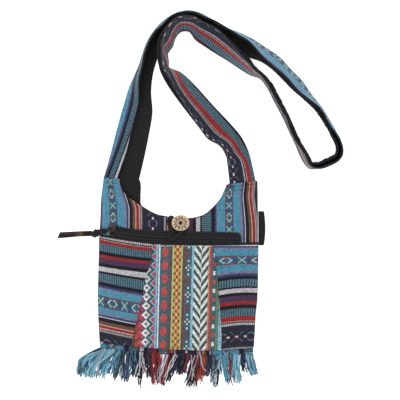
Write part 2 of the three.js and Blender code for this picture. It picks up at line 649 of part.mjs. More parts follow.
// One section of the strap: the middle line of the strip from the flap's edge round the fold to the back edge
function strapSection(row) {
  const middle = FOLD_RADIUS + STRAP_WALL + GAP / 2;
  const turn = THREE.MathUtils.degToRad(row.facing);
  const flap = THREE.MathUtils.degToRad(row.flapTilt);
  const back = THREE.MathUtils.degToRad(row.backTilt);
  const points = [];
  const add = (angle, run) => {
    const out = { a: Math.cos(angle), z: Math.sin(angle) };
    const dir = angle > Math.PI * 1.25 ? angle - Math.PI * 1.5 : angle - Math.PI / 2;
    points.push({
      a: middle + FOLD_RADIUS * out.a + run * Math.cos(dir),
      z: row.lift + middle + FOLD_RADIUS * out.z + run * Math.sin(dir),
      outA: out.a,
      outZ: out.z,
    });
  };
  const flapOut = flap + Math.PI / 2;
  const backOut = back + Math.PI * 1.5;
  add(flapOut, row.flap);
  add(flapOut, row.flap / 2);
  for (let i = 0; i <= FOLD_STEPS; i += 1) add(THREE.MathUtils.lerp(flapOut, backOut, i / FOLD_STEPS), 0);
  add(backOut, row.back / 2);
  add(backOut, row.back);
  return points.map((p) => ({
    at: (offset) => [
      row.x + (p.a + offset * p.outA) * Math.cos(turn),
      row.y + (p.a + offset * p.outA) * Math.sin(turn),
      p.z + offset * p.outZ,
    ],
  }));
}
function strapLayer(inner, outer) {
  const rings = STRAP.map((row) => {
    const section = strapSection(row);
    const far = section.map((p) => p.at(outer));
    const near = section.map((p) => p.at(inner)).reverse();
    return [...far, ...near].reverse();
  });
  return ringGeometry(rings);
}

// Fringe: locks are flat tapered tubes that curve from the head to their tips
function lockGeometry(lock) {
  const top = bottomEdge(lock.root) - FRINGE_HEAD + 2;
  const rings = [];
  for (let i = 0; i <= LOCK_STEPS; i += 1) {
    const t = i / LOCK_STEPS;
    const x = lock.root + (lock.tipX - lock.root) * t * t;
    const y = THREE.MathUtils.lerp(top, lock.tipY, t);
    const half = (lock.width / 2) * (1 - 0.45 * t);
    const thick = (FRINGE_WALL / 2) * (1.1 - 0.45 * t);
    const ring = [];
    for (let k = 0; k < LOCK_SIDES; k += 1) {
      const angle = (k / LOCK_SIDES) * Math.PI * 2;
      ring.push([x + half * Math.cos(angle), y, FRINGE_Z + thick + thick * Math.sin(angle)]);
    }
    rings.push(ring);
  }
  return ringGeometry(rings);
}
function fringeGeometry() {
  const upper = (x) => bottomEdge(x) - GAP;
  const lower = (x) => bottomEdge(x) - FRINGE_HEAD;
  const patch = patchBetween((y) => leftSide(y), (y) => rightSide(y), lower, upper);
  const head = wallGeometry(patch, () => FRINGE_Z, () => FRINGE_Z + FRINGE_WALL, 12, 1);
  return joined([head, ...LOCKS.map(lockGeometry)]);
}

// Materials and assembly
function cloth(color) {
  return new THREE.MeshStandardMaterial({ color, roughness: 0.92, metalness: 0 });
}
const stripedCloth = cloth(0x4f92ad);
const deepCloth = cloth(0x3d5f70);
const patchCloth = cloth(0xa9a878);
const blackCloth = cloth(0x222124);
const yarn = cloth(0x4a7f98);
const brass = new THREE.MeshStandardMaterial({ color: 0x4a4238, roughness: 0.4, metalness: 0.9 });
const coconut = new THREE.MeshStandardMaterial({ color: 0xc9a878, roughness: 0.55, metalness: 0 });

function named(name, geometry, material) {
  const mesh = new THREE.Mesh(geometry, material);
  mesh.name = name;
  return mesh;
}

const bag = new THREE.Group();
bag.add(named("back_panel", backPanel(), deepCloth));
bag.add(named("front_panel", frontPanel(), stripedCloth));
bag.add(named("bag_lining", bagLining(), blackCloth));
bag.add(named("pocket_left", pocketPiece(leftSide, (y) => patchLeft(y) - GAP, 6), deepCloth));
bag.add(named("pocket_centre", pocketPiece(patchLeft, patchRight, 8), patchCloth));
bag.add(named("pocket_right", pocketPiece((y) => patchRight(y) + GAP, rightSide, 6), deepCloth));
bag.add(named("pocket_binding", pocketBinding(), blackCloth));
bag.add(named("zip_tape", zipTape(), blackCloth));
bag.add(named("zip_coil", zipCoil(), blackCloth));
bag.add(seated(SLIDER, TAPE_WALL + 2 * GAP, named("zip_slider", sliderGeometry(), brass)));
bag.add(seated(PULLER, GAP, named("zip_puller", pullerGeometry(), brass)));
bag.add(named("pull_knot", knotGeometry(), blackCloth));
bag.add(named("pull_thong", thongGeometry(), blackCloth));
bag.add(named("button", buttonGeometry(), coconut));
bag.add(named("button_loop", loopGeometry(), blackCloth));
bag.add(named("side_label", labelGeometry(), blackCloth));
bag.add(named("strap", strapLayer(GAP / 2, GAP / 2 + STRAP_WALL), stripedCloth));
bag.add(named("strap_lining", strapLayer(-GAP / 2 - LINING, -GAP / 2), blackCloth));
bag.add(named("fringe", fringeGeometry(), yarn));

export default bag;
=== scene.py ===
import math
import random
from bisect import bisect_left

import bmesh
import bpy
from bpy.props import FloatProperty, FloatVectorProperty, PointerProperty
from bpy.types import Operator, Panel, PropertyGroup
from mathutils import Matrix, Vector, noise


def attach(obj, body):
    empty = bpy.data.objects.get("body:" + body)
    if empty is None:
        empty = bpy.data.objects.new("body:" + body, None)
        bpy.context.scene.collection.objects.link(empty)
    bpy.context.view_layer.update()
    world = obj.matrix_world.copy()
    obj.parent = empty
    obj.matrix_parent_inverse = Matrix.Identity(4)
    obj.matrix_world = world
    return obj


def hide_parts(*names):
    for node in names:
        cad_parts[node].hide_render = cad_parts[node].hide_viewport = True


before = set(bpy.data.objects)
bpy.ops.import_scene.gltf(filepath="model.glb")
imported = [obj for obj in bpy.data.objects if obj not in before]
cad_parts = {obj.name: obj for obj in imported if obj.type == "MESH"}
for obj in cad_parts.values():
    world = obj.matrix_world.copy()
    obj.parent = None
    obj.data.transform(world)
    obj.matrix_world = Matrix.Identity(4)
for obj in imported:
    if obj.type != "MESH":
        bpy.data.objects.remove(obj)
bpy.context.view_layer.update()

bl_info = {
    "name": "Cotton Crossbody Bag",
    "version": (1, 0, 0),
    "blender": (4, 5, 0),
    "location": "View3D > Sidebar > Bag",
    "description": "Models a striped cotton bag laid flat, with its zip pocket, button, fringe and strap",
    "category": "Add Mesh",
}

MM = 0.001

# Walls and gaps of the bag, in millimetres as all lengths below
GAP = 0.3
CLOTH = 1.5
LINING = 1.0
SEAM_Z = CLOTH + GAP

# How far the front stands up from the seams, in the body and in the wings
BODY_RISE, BODY_RUN = 9.5, 17
WING_RISE, WING_RUN = 4.2, 5
WING_FROM_Y, WING_TO_Y = -26, 14

# Stripes of the main cloth over one repeat, each with its width
STRIPES = [
    ("band", 9.4), ("blue", 7.7), ("lavender", 2.8), ("indigo", 2.2), ("white", 1.1),
    ("black", 3.3), ("brown", 3.2), ("blush", 1.1), ("red", 2.6), ("blush", 1.1),
    ("black", 0.9), ("grey", 1.6), ("navy", 24.7), ("white", 1.1), ("black", 1.5),
    ("blush", 1.3), ("red", 5.1), ("teal", 9.6), ("black", 2.2), ("red", 3.9),
    ("purple", 6.8), ("black", 3.9), ("white", 4.5), ("black", 1.7), ("teal", 10.7),
    ("black", 3.6), ("indigo", 2.0), ("lavender", 1.7), ("blue", 8.2),
]
STARTS = [sum(width for _, width in STRIPES[:i]) for i in range(len(STRIPES) + 1)]
REPEAT = STARTS[-1]
BAND, NAVY_STRIPE, FIRST_TEAL, SECOND_TEAL, WHITE_RIB = 0, 12, 17, 24, 22
DASHED = [11, 13, 15]

# Figures woven into it: their repeats along the band and along the dark stripe
BAND_REPEAT, NAVY_REPEAT, NAVY_START = 26.7, 30.0, 3.4

# The patch cloth is counted in threads: its first stripe, and each stripe with its width
THREAD = 1.125
PATCH_FIRST = 134
PATCH_STRIPES = [
    ("maroon", 9.5), ("pine", 12.6), ("sky", 1.6), ("pine", 0.9), ("chalk", 1.6), ("slate", 9.2),
    ("maroon", 1.6), ("pine", 1.4), ("lime", 9.9), ("pine", 0.8), ("maroon", 1.9), ("clay", 1.0),
    ("slate", 5.7), ("sky", 2.2), ("dusk", 14.5), ("blush", 0.8), ("rust", 1.9), ("clay", 1.3),
    ("slate", 4.4), ("leaf", 1.6), ("pine", 0.9), ("sky", 2.6), ("chalk", 1), ("slate", 3),
]

# Figures woven into the patch: middle across it, one of them down it and their repeat
FIGURES = {
    "dash": (138.7, 307, 9), "diamond": (147.5, 287.5, 9), "tooth": (151.4, 283, 9),
    "oval": (165, 291.5, 13.2), "check": (177.4, 266.5, 6.77), "spot": (177.4, 269.9, 6.77),
    "star": (188.6, 267.5, 26.8), "bar": (188.6, 280.9, 26.8), "cream dot": (214.5, 272.8, 17.7),
    "coral dot": (214.6, 281.6, 17.7),
}
CHEVRON_FROM, CHEVRON_MIDDLE, CHEVRON_TO, CHEVRON_REPEAT = 194.1, 201.5, 208.4, 9.2

# Screen colours of the figures, of worn places and of small parts
SHADES = {
    "plum": (132, 58, 72), "violet": (100, 70, 122), "denim": (56, 84, 118), "lagoon": (60, 116, 128),
    "lake": (66, 100, 138), "silver": (196, 206, 206), "mint": (176, 206, 188), "brick": (150, 60, 66),
    "mulberry": (96, 50, 80), "steel": (96, 132, 158), "rose": (134, 62, 88), "smoke": (92, 126, 142),
    "pearl": (226, 214, 220), "frost": (200, 206, 206), "ecru": (226, 208, 188), "straw": (200, 186, 116),
    "ochre": (178, 88, 52), "paprika": (192, 82, 58), "mauve": (104, 86, 96), "soot": (30, 28, 28),
    "worn": (66, 48, 45), "mark": (112, 78, 42), "rubbed": (74, 66, 60), "patina": (44, 40, 36),
    "husk": (210, 172, 128), "burnt": (112, 72, 52), "singed": (120, 96, 80), "ash": (186, 168, 150),
    "char": (58, 42, 32), "table_cloud": (246, 246, 246), "tape": (38, 37, 41), "coil": (42, 41, 45),
    "thread": (40, 42, 62),
}


class Curve:
    """A table read smoothly along its first column, or along keys given for its rows."""

    def __init__(self, rows, keys=None):
        self.keys = keys or [row[0] for row in rows]
        self.rows = rows if keys else [row[1:] for row in rows]
        last = len(self.rows) - 1
        self.slopes = []
        for i in range(last + 1):
            a, b = max(i - 1, 0), min(i + 1, last)
            span = self.keys[b] - self.keys[a]
            self.slopes.append([(q - p) / span for p, q in zip(self.rows[a], self.rows[b])])

    def at(self, key):
        i = min(max(bisect_left(self.keys, key), 1), len(self.keys) - 1)
        span = self.keys[i] - self.keys[i - 1]
        t = min(max((key - self.keys[i - 1]) / span, 0.0), 1.0)
        start, leave = (1 + 2 * t) * (1 - t) ** 2, t * (1 - t) ** 2 * span
        end, arrive = t * t * (3 - 2 * t), t * t * (t - 1) * span
        columns = zip(self.rows[i - 1], self.slopes[i - 1], self.rows[i], self.slopes[i])
        return [p * start + m * leave + q * end + n * arrive for p, m, q, n in columns]

    def column(self, index=0):
        """One of its columns, as a function of the key."""
        return lambda key: self.at(key)[index]


def route_curve(points):
    """A curve through points, read from 0 to 1 along its length."""
    keys = [0.0]
    for p, q in zip(points, points[1:]):
        keys.append(keys[-1] + math.dist(p[:3], q[:3]))
    return Curve(points, [key / keys[-1] for key in keys])


# Outline of the bag: side seams, bottom seam, necklines with the wings' upper corners
SIDES = Curve([
    (-170, -112.2, 60.2), (-130, -114, 62.3), (-110, -114.5, 64.2), (-60, -113.3, 65.3),
    (-40, -113, 65.2), (-20, -112.1, 65.3), (0, -111.4, 65), (26, -108.4, 64.6),
])
BOTTOM = Curve([(-115, -161), (-78, -164), (-23, -168), (25, -168.5), (66, -165.5)])
LEFT_CORNER, RIGHT_CORNER = (-108, 24.4), (64.2, 20.1)
LEFT_SHARE, RIGHT_SHARE = 0.1, 0.2
ROUGH_LEFT, ROUGH_RIGHT = -113, 62
FRONT_NECK = route_curve([
    (-90.3, 22.4), (-89.6, 16), (-83.5, 6), (-67.5, -6), (-56, -13.5), (-45, -18), (-18, -21.5),
    (-4.5, -20.3), (7, -15.8), (22.5, 0), (27.2, 10), (29.4, 15.9),
])
BACK_NECK = route_curve([
    (-67.4, 19.9), (-66.5, 11), (-67.5, 0), (-64.5, -8), (-56, -16), (-43, -20.8), (-18, -23.6),
    (-3.5, -22.5), (8.5, -17.4), (25, -1), (29.4, 10), (31.6, 16.2),
])
FRONT_LAP = 1.4
LINING_INSET = 5

# Upright stripes of the body: middles of the figured bands at the left and right, their place on the repeat,
# how far the wings shift them, and how much closer they lie in the wings and at the side seams
LEFT_BAND_X, RIGHT_BAND_X, BAND_MIDDLE = -97.6, 32.8, 4.7
LEFT_SHIFT, RIGHT_SHIFT = 3.4, 1.8
LEFT_PINCH, LEFT_SEAM_PINCH, RIGHT_SEAM_PINCH = 0.32, 1.18, 0.17

# Zip pocket
PATCH_SEAMS = Curve([
    (-170, -78.5, 24.4), (-145, -73, 23.6), (-125, -68.5, 22.3), (-106, -64, 20.7),
    (-86, -60.5, 19.1), (-66, -54, 16.8), (-40, -54, 13.2),
])
POCKET_TOP = Curve([(-115, -40.7), (-55, -49.3), (14.5, -51.2), (66, -50.2)])
POCKET_SWELL, POCKET_SWELL_RUN = 2.2, 30
POCKET_MIDDLE_Y, SEAM_PRESS = -100, 3.0

# Outer cloths of the pocket, stripes packed unevenly: distance down from the first one, and place on the
# cloth's repeat, which the right cloth counts backwards
LEFT_STRIPES = Curve([
    (-8.3, 61.7), (-6.2, 62.8), (-5, 64.3), (-3.8, 65.6), (0, 70.7), (8.6, 80.3), (12, 82.5), (16.2, 86.4),
    (21.8, 93.2), (26, 97.1), (31.2, 101.6), (33.7, 103.3), (43.5, 114), (46.8, 117.6), (51.4, 121.3),
    (58.6, 129.5), (71.5, 138.9), (76.8, 146.6), (82, 151.6), (86.9, 156), (91.1, 159.2), (94.4, 162.9),
    (99, 166.5), (125, 192),
])
RIGHT_STRIPES = Curve([
    (0, -23.2), (2.2, -22.1), (3.75, -19.9), (6, -17.1), (12.75, -9.4), (22.5, 0), (29.6, 8.2), (33, 9.9),
    (35.5, 11.9), (38.7, 15.5), (46.95, 26.2), (49, 27.9), (53.9, 32.4), (57.4, 36.3), (63.5, 43.1),
    (67.9, 47), (71.5, 49.2), (80.1, 58.8), (85.7, 63.9), (88.1, 66.7), (90.4, 67.8), (115.4, 92.5), (122, 99),
])

# How these stripes run: the left ones slope down, less so in a dip, and sag; the right ones arch, and the
# figures on them stand wider at the top than at the foot
LEFT_TOP_Y, LEFT_FROM_X = -49.05, -108
LEFT_SLOPE, LEFT_DIP, LEFT_DIP_DOWN, LEFT_DIP_RUN = 0.22, 0.05, 27, 14
LEFT_SAG, LEFT_SAG_LOSS, LEFT_SAG_RUN = 0.0011, 0.0007, 100
RIGHT_TOP_Y, RIGHT_CROWN_X, RIGHT_ARCH = -49.8, 51.75, 0.0034
RIGHT_PACE_TOP, RIGHT_PACE_FOOT = 0.74, 0.952
PATCH_LEAN, PATCH_UPRIGHT_ROW = 0.026, 265

# Zip
BINDING_WIDTH, BINDING_WALL = 2.2, 1.2
BINDING_LEFT, TAPE_LEFT, TAPE_RIGHT, TAPE_WALL = -110, -100.5, 46, 1.0
TAPE_CORNER, TAPE_LINES = 4.5, 3.1
TOOTH_RADIUS, TOOTH_LAP, TOOTH_REACH, TOOTH_DROP = 0.62, 0.25, 2.7, 0.35
TAPE_TOP = Curve([(-94, -29.5), (-68, -33.2), (47, -36.6)])
SLIDER_AT, SLIDER_LENGTH = (-97.5, -32.7), 12
PULLER_AT, PULLER_LENGTH, PULLER_WALL = (-108.4, -35), 9, 1.2
PULLER_EYE, PULLER_EYE_RADII = -1.1, (1.6, 2.0)
KNOT_AT, KNOT_HEIGHT = (-117.4, -37.2), 7.6
KNOT_TURNS, KNOT_HALF, KNOT_SIDE, KNOT_RISE, KNOT_CORD = 2.6, 3.1, 3.3, 2.3, 1.55
THONG = route_curve([
    (-121.8, -38, 1.9, 5), (-132, -38.4, 1.6, 5), (-140, -38.8, 1.6, 5.1), (-150, -39.5, 1.5, 5.6),
    (-160.4, -40.1, 1.3, 5.8),
])
THONG_FOLD, THONG_WALL, THONG_SLANT = 1.3, 0.55, 2.4

# Share of the width of a folded strip, thong or label, that lies in each of its two layers
FLAT_SHARE = 0.42

# Button, its loop and the label
BUTTON_AT, BUTTON_RADIUS, BUTTON_LIFT, BUTTON_SQUASH = (-21.7, -25.7), 10, 4.6, 0.89
LOOP_WIDTH, LOOP_WALL = 4.4, 1.2
LABEL_AT, LABEL_WIDTH, LABEL_LENGTH, LABEL_Z = (65.6, -12.6), 7.2, 38.3, 1.6
LABEL_BOW, LABEL_FOLD, LABEL_WALL = 1.6, 0.9, 0.5

# Strap, from the left wing to the right wing. Each row is one cross-section: a point on the fold's outline,
# the direction to the open edges, length and tilt of the flap and of the back half, the height of the
# outline, and the places on the cloth's repeat at the flap's edge and at the fold.
FOLD_RADIUS = 1.5
STRAP_WALL = 1.0
STRAP_LOWEST = 0.55
LINING_HEM = 0.9
STRAP = [
    (-108.4, 24.7, -6.5, 12.4, 3, 36, 0, 0, 105.8, 120.4),
    (-99.7, 56, -10, 14.2, 4, 34.4, 0, 0, 106.6, 123.4),
    (-94.2, 77.5, -13, 14.6, 8, 33.4, 0, 0, 108.6, 124.8),
    (-86, 107, -15, 14.6, 20, 30.1, 3, 0, 110, 125.5),
    (-78.9, 129.5, -17, 17, 55, 21.6, 6, 0, 110.4, 124),
    (-69.3, 151, -19, 18, 80, 14.7, 8, 0, 110.7, 119.9),
    (-60.1, 177.8, -32, 18, 81, 15, 5, 0, 108.2, 121.6),
    (-47.9, 195.6, -51, 18, 82, 13, 2, 0, 104, 122.3),
    (-31.2, 208.9, -70, 18, 82.5, 12, 2, 0, 104, 122.5),
    (-15.8, 213.5, -90, 18, 83, 12, 2, 0, 104, 122.5),
    (-2.1, 211.7, -107, 18, 84, 12, 2, 0, 104.5, 123),
    (11.6, 204.7, -117, 19, 86, 14, 3, 0, 108, 128),
    (28, 195, -118, 20, 88, 15, 5, 0, 113.5, 134),
    (45, 188.3, -117, 22, 82, 16, 8, 0, 117.5, 139),
    (58.5, 182, -117, 24, 75, 18, 18, 0, 118.5, 142),
    (74.3, 171.5, -123, 26, 66, 22, 53, 0, 118.5, 140.5),
    (89.3, 161.3, -128, 26, 62, 25, 60.5, 0, 118, 139.5),
    (102.9, 146.7, -132, 26, 64.5, 25, 64, 0, 118, 139.5),
    (114.1, 135.4, -136, 26, 64, 25, 63.5, 0, 118, 139.8),
    (127.2, 117, -146, 26, 75, 25, 76, 0, 117.8, 140.5),
    (138, 103.4, -150, 26, 82, 25, 80, 0, 118, 142.5),
    (148.4, 86.2, -155, 26, 84.5, 25, 82, 0, 119, 144.5),
    (154.8, 74.6, -160, 26, 86, 25, 81, 0, 120.5, 146),
    (159.4, 65, -172, 26, 87, 25, 80.5, 0, 122, 147.5),
    (161.3, 57, -182, 26, 88, 25, 80.5, 0, 124, 149.5),
    (159.6, 48.4, -200, 26, 89.5, 25, 80, 0, 126.5, 152),
    (153, 42.2, -222, 26, 92, 25, 80, 0, 130, 156),
    (143.4, 38.3, -246, 26, 92, 25, 82.5, 0, 137, 163),
    (133, 35.2, -258, 26, 90, 25, 85.5, 0, 143, 169),
    (122.8, 34.8, -287, 26, 82.5, 25, 83, 0, 148, 174),
    (115.9, 42.3, -322, 26, 80, 25, 81.3, 0, 150, 176),
    (111.9, 50.1, -336, 26, 81, 25, 82.5, 0, 152, 178),
    (106.6, 62.2, -338, 26, 85, 25, 86.4, 0, 160, 186),
    (99.9, 76.6, -338, 26, 85.6, 25, 86.8, 0, 165, 191),
    (92.6, 92.5, -333, 26, 85, 25, 86.2, 0, 165.5, 191.5),
    (82.4, 111.6, -331, 26, 84, 25, 85.4, 0, 167, 193),
    (74.6, 126.5, -322, 26, 84.5, 25, 86, 0, 176, 202),
    (67, 136, -303, 26, 85, 25, 87, 0, 186, 212),
    (56.2, 140, -300, 26, 75, 25, 77, 0, 188.5, 213.5),
    (46.6, 145.7, -300, 26, 63.5, 25, 63.5, 0, 187.5, 213),
    (33.1, 154.7, -300, 26, 56, 25, 56, 0, 186, 213),
    (17.6, 164.3, -299, 26, 40, 25, 40, 0, 183.5, 213.2),
    (6.4, 171.4, -296, 26, 30, 25, 30, 2, 181, 214.5),
    (-5, 179.2, -290, 25, 34, 23, 38, 4, 179.5, 216.5),
    (-12.2, 188.3, -276, 25, 51, 21, 54, 4, 178, 217),
    (-21.3, 188.3, -262, 25, 52, 21, 55, 4, 178, 217),
    (-27.5, 181, -243, 25, 50, 22, 54, 4, 177, 209),
    (-30.5, 171.6, -231, 25, 50, 24, 50, 4, 177, 209),
    (-35.6, 164.6, -211, 24, 66, 23, 66, 3, 184, 216),
    (-34.7, 155.3, -192, 25, 71, 24, 71, 2, 177, 199),
    (-34.2, 149.2, -180, 25, 74, 24, 74, 0, 176, 196),
    (-20.8, 143.2, -158, 27.2, 56, 26, 51, 0, 180, 207),
    (-7, 130.6, -152, 27.2, 42, 26.5, 36, 0, 182, 213),
    (14.1, 107.3, -146, 28.1, 28, 26.5, 24, 0, 178.5, 213),
    (34.8, 85.2, -148, 28.9, 10, 26.6, 9, 0, 175, 213),
    (46.7, 70.9, -156, 24.6, 16, 23.4, 14, 0, 173.5, 214.5),
    (54, 56.3, -163, 23.4, 16, 22.6, 13, 0, 173, 213),
    (57.4, 45, -167, 24.3, 10, 23.7, 7, 0, 173, 206),
    (62.8, 20.7, -173, 27, 3, 26, 0, 0, 173, 204.5),
]
STRAP_CURVE = route_curve([row[:2] + (0,) + row[2:] for row in STRAP])
STRAP_FLAT = (0.056, 0.9)

# Across the strap: where the flap ends and the back half begins, cells of its grid, and the hems with their
# places on the repeat; the flap's hem is indigo along a part of the right stretch
FLAP_END, BACK_START = 0.42, 0.6
STRAP_CELLS, STRAP_HEM = 40, 0.004
BLACK_HEM, INDIGO_HEM = 95.0, 118.6
INDIGO_FROM, INDIGO_TO = 0.45, 0.545

# Where the strap's cloth is bunched, and the shares of its length over which that comes and goes: on the near
# stretch, share across the flap and share of the stripes; on the left stretch, even place and real place
NEAR_COMES, NEAR_GOES, LEFT_GOES = (0.83, 0.85), (0.972, 0.958), (0.19, 0.155)
NEAR_BUNCH = Curve([(0, 0), (0.34, 0.426), (0.443, 0.529), (0.637, 0.663), (0.914, 0.916), (1, 1)])
LEFT_BUNCH = Curve([
    (95, 81.2), (105.6, 97.1), (108.6, 101.6), (110.1, 103.3), (115.35, 114), (117.6, 117.6), (119.5, 119.6),
    (121.1, 121.3), (124, 124.2), (180, 180),
])

# Fringe: its woven head, and for each lock the root with its half width, the tip with its half width, the
# number of yarns and their colours
FRINGE_HEAD, FRINGE_LEFT, FRINGE_RIGHT, FRINGE_Z, FRINGE_WALL = 7, -112.3, 59.8, 1.6, 1.4
LOCKS = [
    (-109.5, 2.5, -135.2, -196, 2, 20, "blue sky teal lavender slate"),
    (-107.5, 4, -131.5, -199, 4, 26, "blue sky teal sky slate"),
    (-102, 5, -123, -200, 6, 32, "blue sky blue lavender sky"),
    (-103, 7, -118, -198, 11, 7, "white sky sky"),
    (-97, 5, -111, -201, 6, 28, "blue sky teal blue"),
    (-91, 4, -101, -197, 5, 26, "sky teal sky band blue"),
    (-86, 4, -93, -203, 5, 24, "navy slate indigo teal grey"),
    (-80, 3, -85, -204, 4, 20, "navy indigo slate lavender"),
    (-74, 4, -76, -200, 5, 24, "teal band navy blue"),
    (-70, 4, -71, -199, 4, 20, "black teal navy black"),
    (-65, 5, -64, -200, 6, 26, "black black navy black"),
    (-65, 3.5, -63, -199, 7, 6, "white"),
    (-62, 3, -67, -211.5, 1.5, 8, "black navy"),
    (-57, 3, -56, -200, 3, 16, "black navy purple black"),
    (-52, 4.5, -50, -207, 4, 26, "red red red black"),
    (-45, 3.5, -46, -205, 4, 18, "red rust brown red"),
    (-38, 3, -47, -206, 4, 6, "white white blue"),
    (-35, 5, -43, -208, 4, 28, "red black black rust navy"),
    (-29, 5, -36, -205, 4, 22, "navy black navy"),
    (-28, 3, -37, -204, 4, 4, "white"),
    (-23, 6, -27, -196, 7, 28, "navy black indigo navy"),
    (-14, 6, -18, -197, 6, 26, "navy black red indigo"),
    (-6, 5, -11, -210.5, 5, 26, "navy black indigo navy"),
    (-6, 4, -9, -205, 5, 5, "white red"),
    (-2, 3, -4, -209, 3, 16, "rust brown red black"),
    (4, 4, 4, -198, 4, 22, "rust brown red"),
    (1, 1.5, 3, -208, 2, 6, "grey rust"),
    (10, 4, 10, -198, 4, 24, "navy indigo black"),
    (16, 3, 15, -198, 3, 14, "indigo blue navy slate"),
    (14, 2, 14, -210, 3, 10, "grey grey slate sky"),
    (19, 1.5, 19.5, -211.5, 0.8, 5, "black"),
    (21, 4, 21, -196, 4, 20, "blue sky grey"),
    (28, 4, 30, -205, 4, 26, "blue sky blue sky slate"),
    (34, 1.2, 35, -208.5, 1, 7, "red red purple"),
    (36, 4, 36, -201, 4, 20, "blue sky slate blue"),
    (42, 4, 43, -206, 4, 26, "sky blue sky cream"),
    (48, 3.5, 51, -194, 3, 18, "indigo black navy"),
    (54, 4, 57, -197, 4, 26, "blue sky indigo sky"),
    (57, 2.5, 61, -196, 2.5, 20, "blue slate sky grey"),
]
WHITE_LOOP = route_curve([
    (-0.5, -171, 3), (1.5, -180, 3.3), (4, -189.5, 2.6), (9, -193.5, 2.2), (15, -193, 2.4),
    (21.5, -186.5, 3),
])

# Ranges that the yarns draw from
EITHER_WAY, TIP_SCATTER = (-1, 1), (-1.4, 1.4)
ROOT_DEPTH, REACH_SHARE = (4.6, 7.6), (0.78, 1.03)
ROOT_HEIGHT, TIP_HEIGHT = (0.9, 3.4), (0.9, 3.0)
SWAY, SWAY_PHASE, SWAY_PACE = (0.3, 2.4), (0, 6.3), (3, 8)
YARN_SHADE, YARN_WIDTH = (0.72, 1.35), (0.8, 1.25)

# Rows of stitches on the wings, from end to end, and what a stitch measures besides its length
WING_STITCHES = [((31, 14.5), (61.5, 18)), ((28, 9.5), (61, 13)), ((-106, 19.5), (-92, 17.9))]
STITCH_RADIUS, STITCH_LIFT, SEAM_STITCH_IN, SEAM_STITCH_RUN = 0.33, 0.12, 1.3, 115

# Stage, in metres
TABLE_HALF, TABLE_DROP = 6.0, 0.0002
LAMP_AT, LAMP_SIZE = (-0.7, 0.6, 1.5), 1.3

# Edges of the bag, its pocket and its zip, at a height or at a place across
left_side, right_side = SIDES.column(0), SIDES.column(1)
patch_left, patch_right = PATCH_SEAMS.column(0), PATCH_SEAMS.column(1)
bottom_edge, pocket_top, tape_top = BOTTOM.column(), POCKET_TOP.column(), TAPE_TOP.column()


def lerp(a, b, t):
    return a + (b - a) * t


def smoothstep(low, high, value):
    t = min(max((value - low) / (high - low), 0.0), 1.0)
    return t * t * (3 - 2 * t)


def from_sides(x, y):
    """Distance from the nearer side seam, inwards."""
    return min(x - left_side(y), right_side(y) - x)


def from_pocket_edge(x, y):
    """Distance from the nearest edge of the pocket, inwards."""
    return min(from_sides(x, y), y - bottom_edge(x), pocket_top(x) - y)


def front_under(x, y):
    """Underside of the front panel: it leaves the seams steeply and flattens out, less so in the wings."""
    wing = smoothstep(WING_FROM_Y, WING_TO_Y, y)
    rise, run = lerp(BODY_RISE, WING_RISE, wing), lerp(BODY_RUN, WING_RUN, wing)
    side, foot = max(0.0, from_sides(x, y)), max(0.0, y - bottom_edge(x))
    return SEAM_Z + rise * (1 - math.exp(-side / run)) * (1 - math.exp(-foot / run))


def front_top(x, y):
    return front_under(x, y) + CLOTH


def pocket_under(x, y):
    room = max(0.0, from_pocket_edge(x, y))
    return front_top(x, y) + GAP + POCKET_SWELL * (1 - math.exp(-room / POCKET_SWELL_RUN))


def ripple(x, y, size, seed):
    """Even, repeatable unevenness of cloth, from -1 to 1."""
    return noise.noise(Vector((x / size, y / size, seed)))


def srgb(red, green, blue):
    """A colour named by its screen values, as the renderer needs it."""
    parts = [part / 255 for part in (red, green, blue)]
    return tuple(p / 12.92 if p <= 0.04045 else ((p + 0.055) / 1.055) ** 2.4 for p in parts)


def colour_prop(name, note, *screen):
    return FloatVectorProperty(
        name=name, description=note, subtype="COLOR", size=3, min=0, max=1, default=srgb(*screen)
    )


def length_prop(name, note, millimetres):
    return FloatProperty(
        name=name, description=note, subtype="DISTANCE", unit="LENGTH", min=0, precision=5,
        default=millimetres * MM,
    )


class BagSizes(PropertyGroup):
    """Sizes of the cloth, yarn and thread, and of the stage."""

    cloth_wall: length_prop("Cloth", "Thickness of the striped cloth", CLOTH)
    lining_wall: length_prop("Lining", "Thickness of the black lining", LINING)
    strap_wall: length_prop("Strap cloth", "Thickness of the strap's cloth", STRAP_WALL)
    wrinkle: length_prop("Wrinkles", "Height of the soft wrinkles in the panels", 0.35)
    pucker: length_prop("Pucker", "Depth of the dimples along the seams", 0.25)
    ruffle: length_prop("Ruffle", "Sway of the strap's open edges", 0.7)
    yarn: length_prop("Yarn", "Radius of a fringe yarn", 0.74)
    stitch: length_prop("Stitch", "Length of one seam stitch", 2.1)
    stitch_gap: length_prop("Stitch gap", "Gap between two seam stitches", 1.0)
    tooth_pitch: length_prop("Tooth pitch", "Distance between two zip teeth", 1.5)
    field: length_prop("Field", "Width that the camera sees", 450)
    camera_height: length_prop("Camera height", "Height of the camera over the table", 4000)
    key_power: FloatProperty(name="Softbox", description="Power of the softbox", unit="POWER", default=7.0)
    sky: FloatProperty(name="Room light", description="Strength of the even room light", default=0.62)


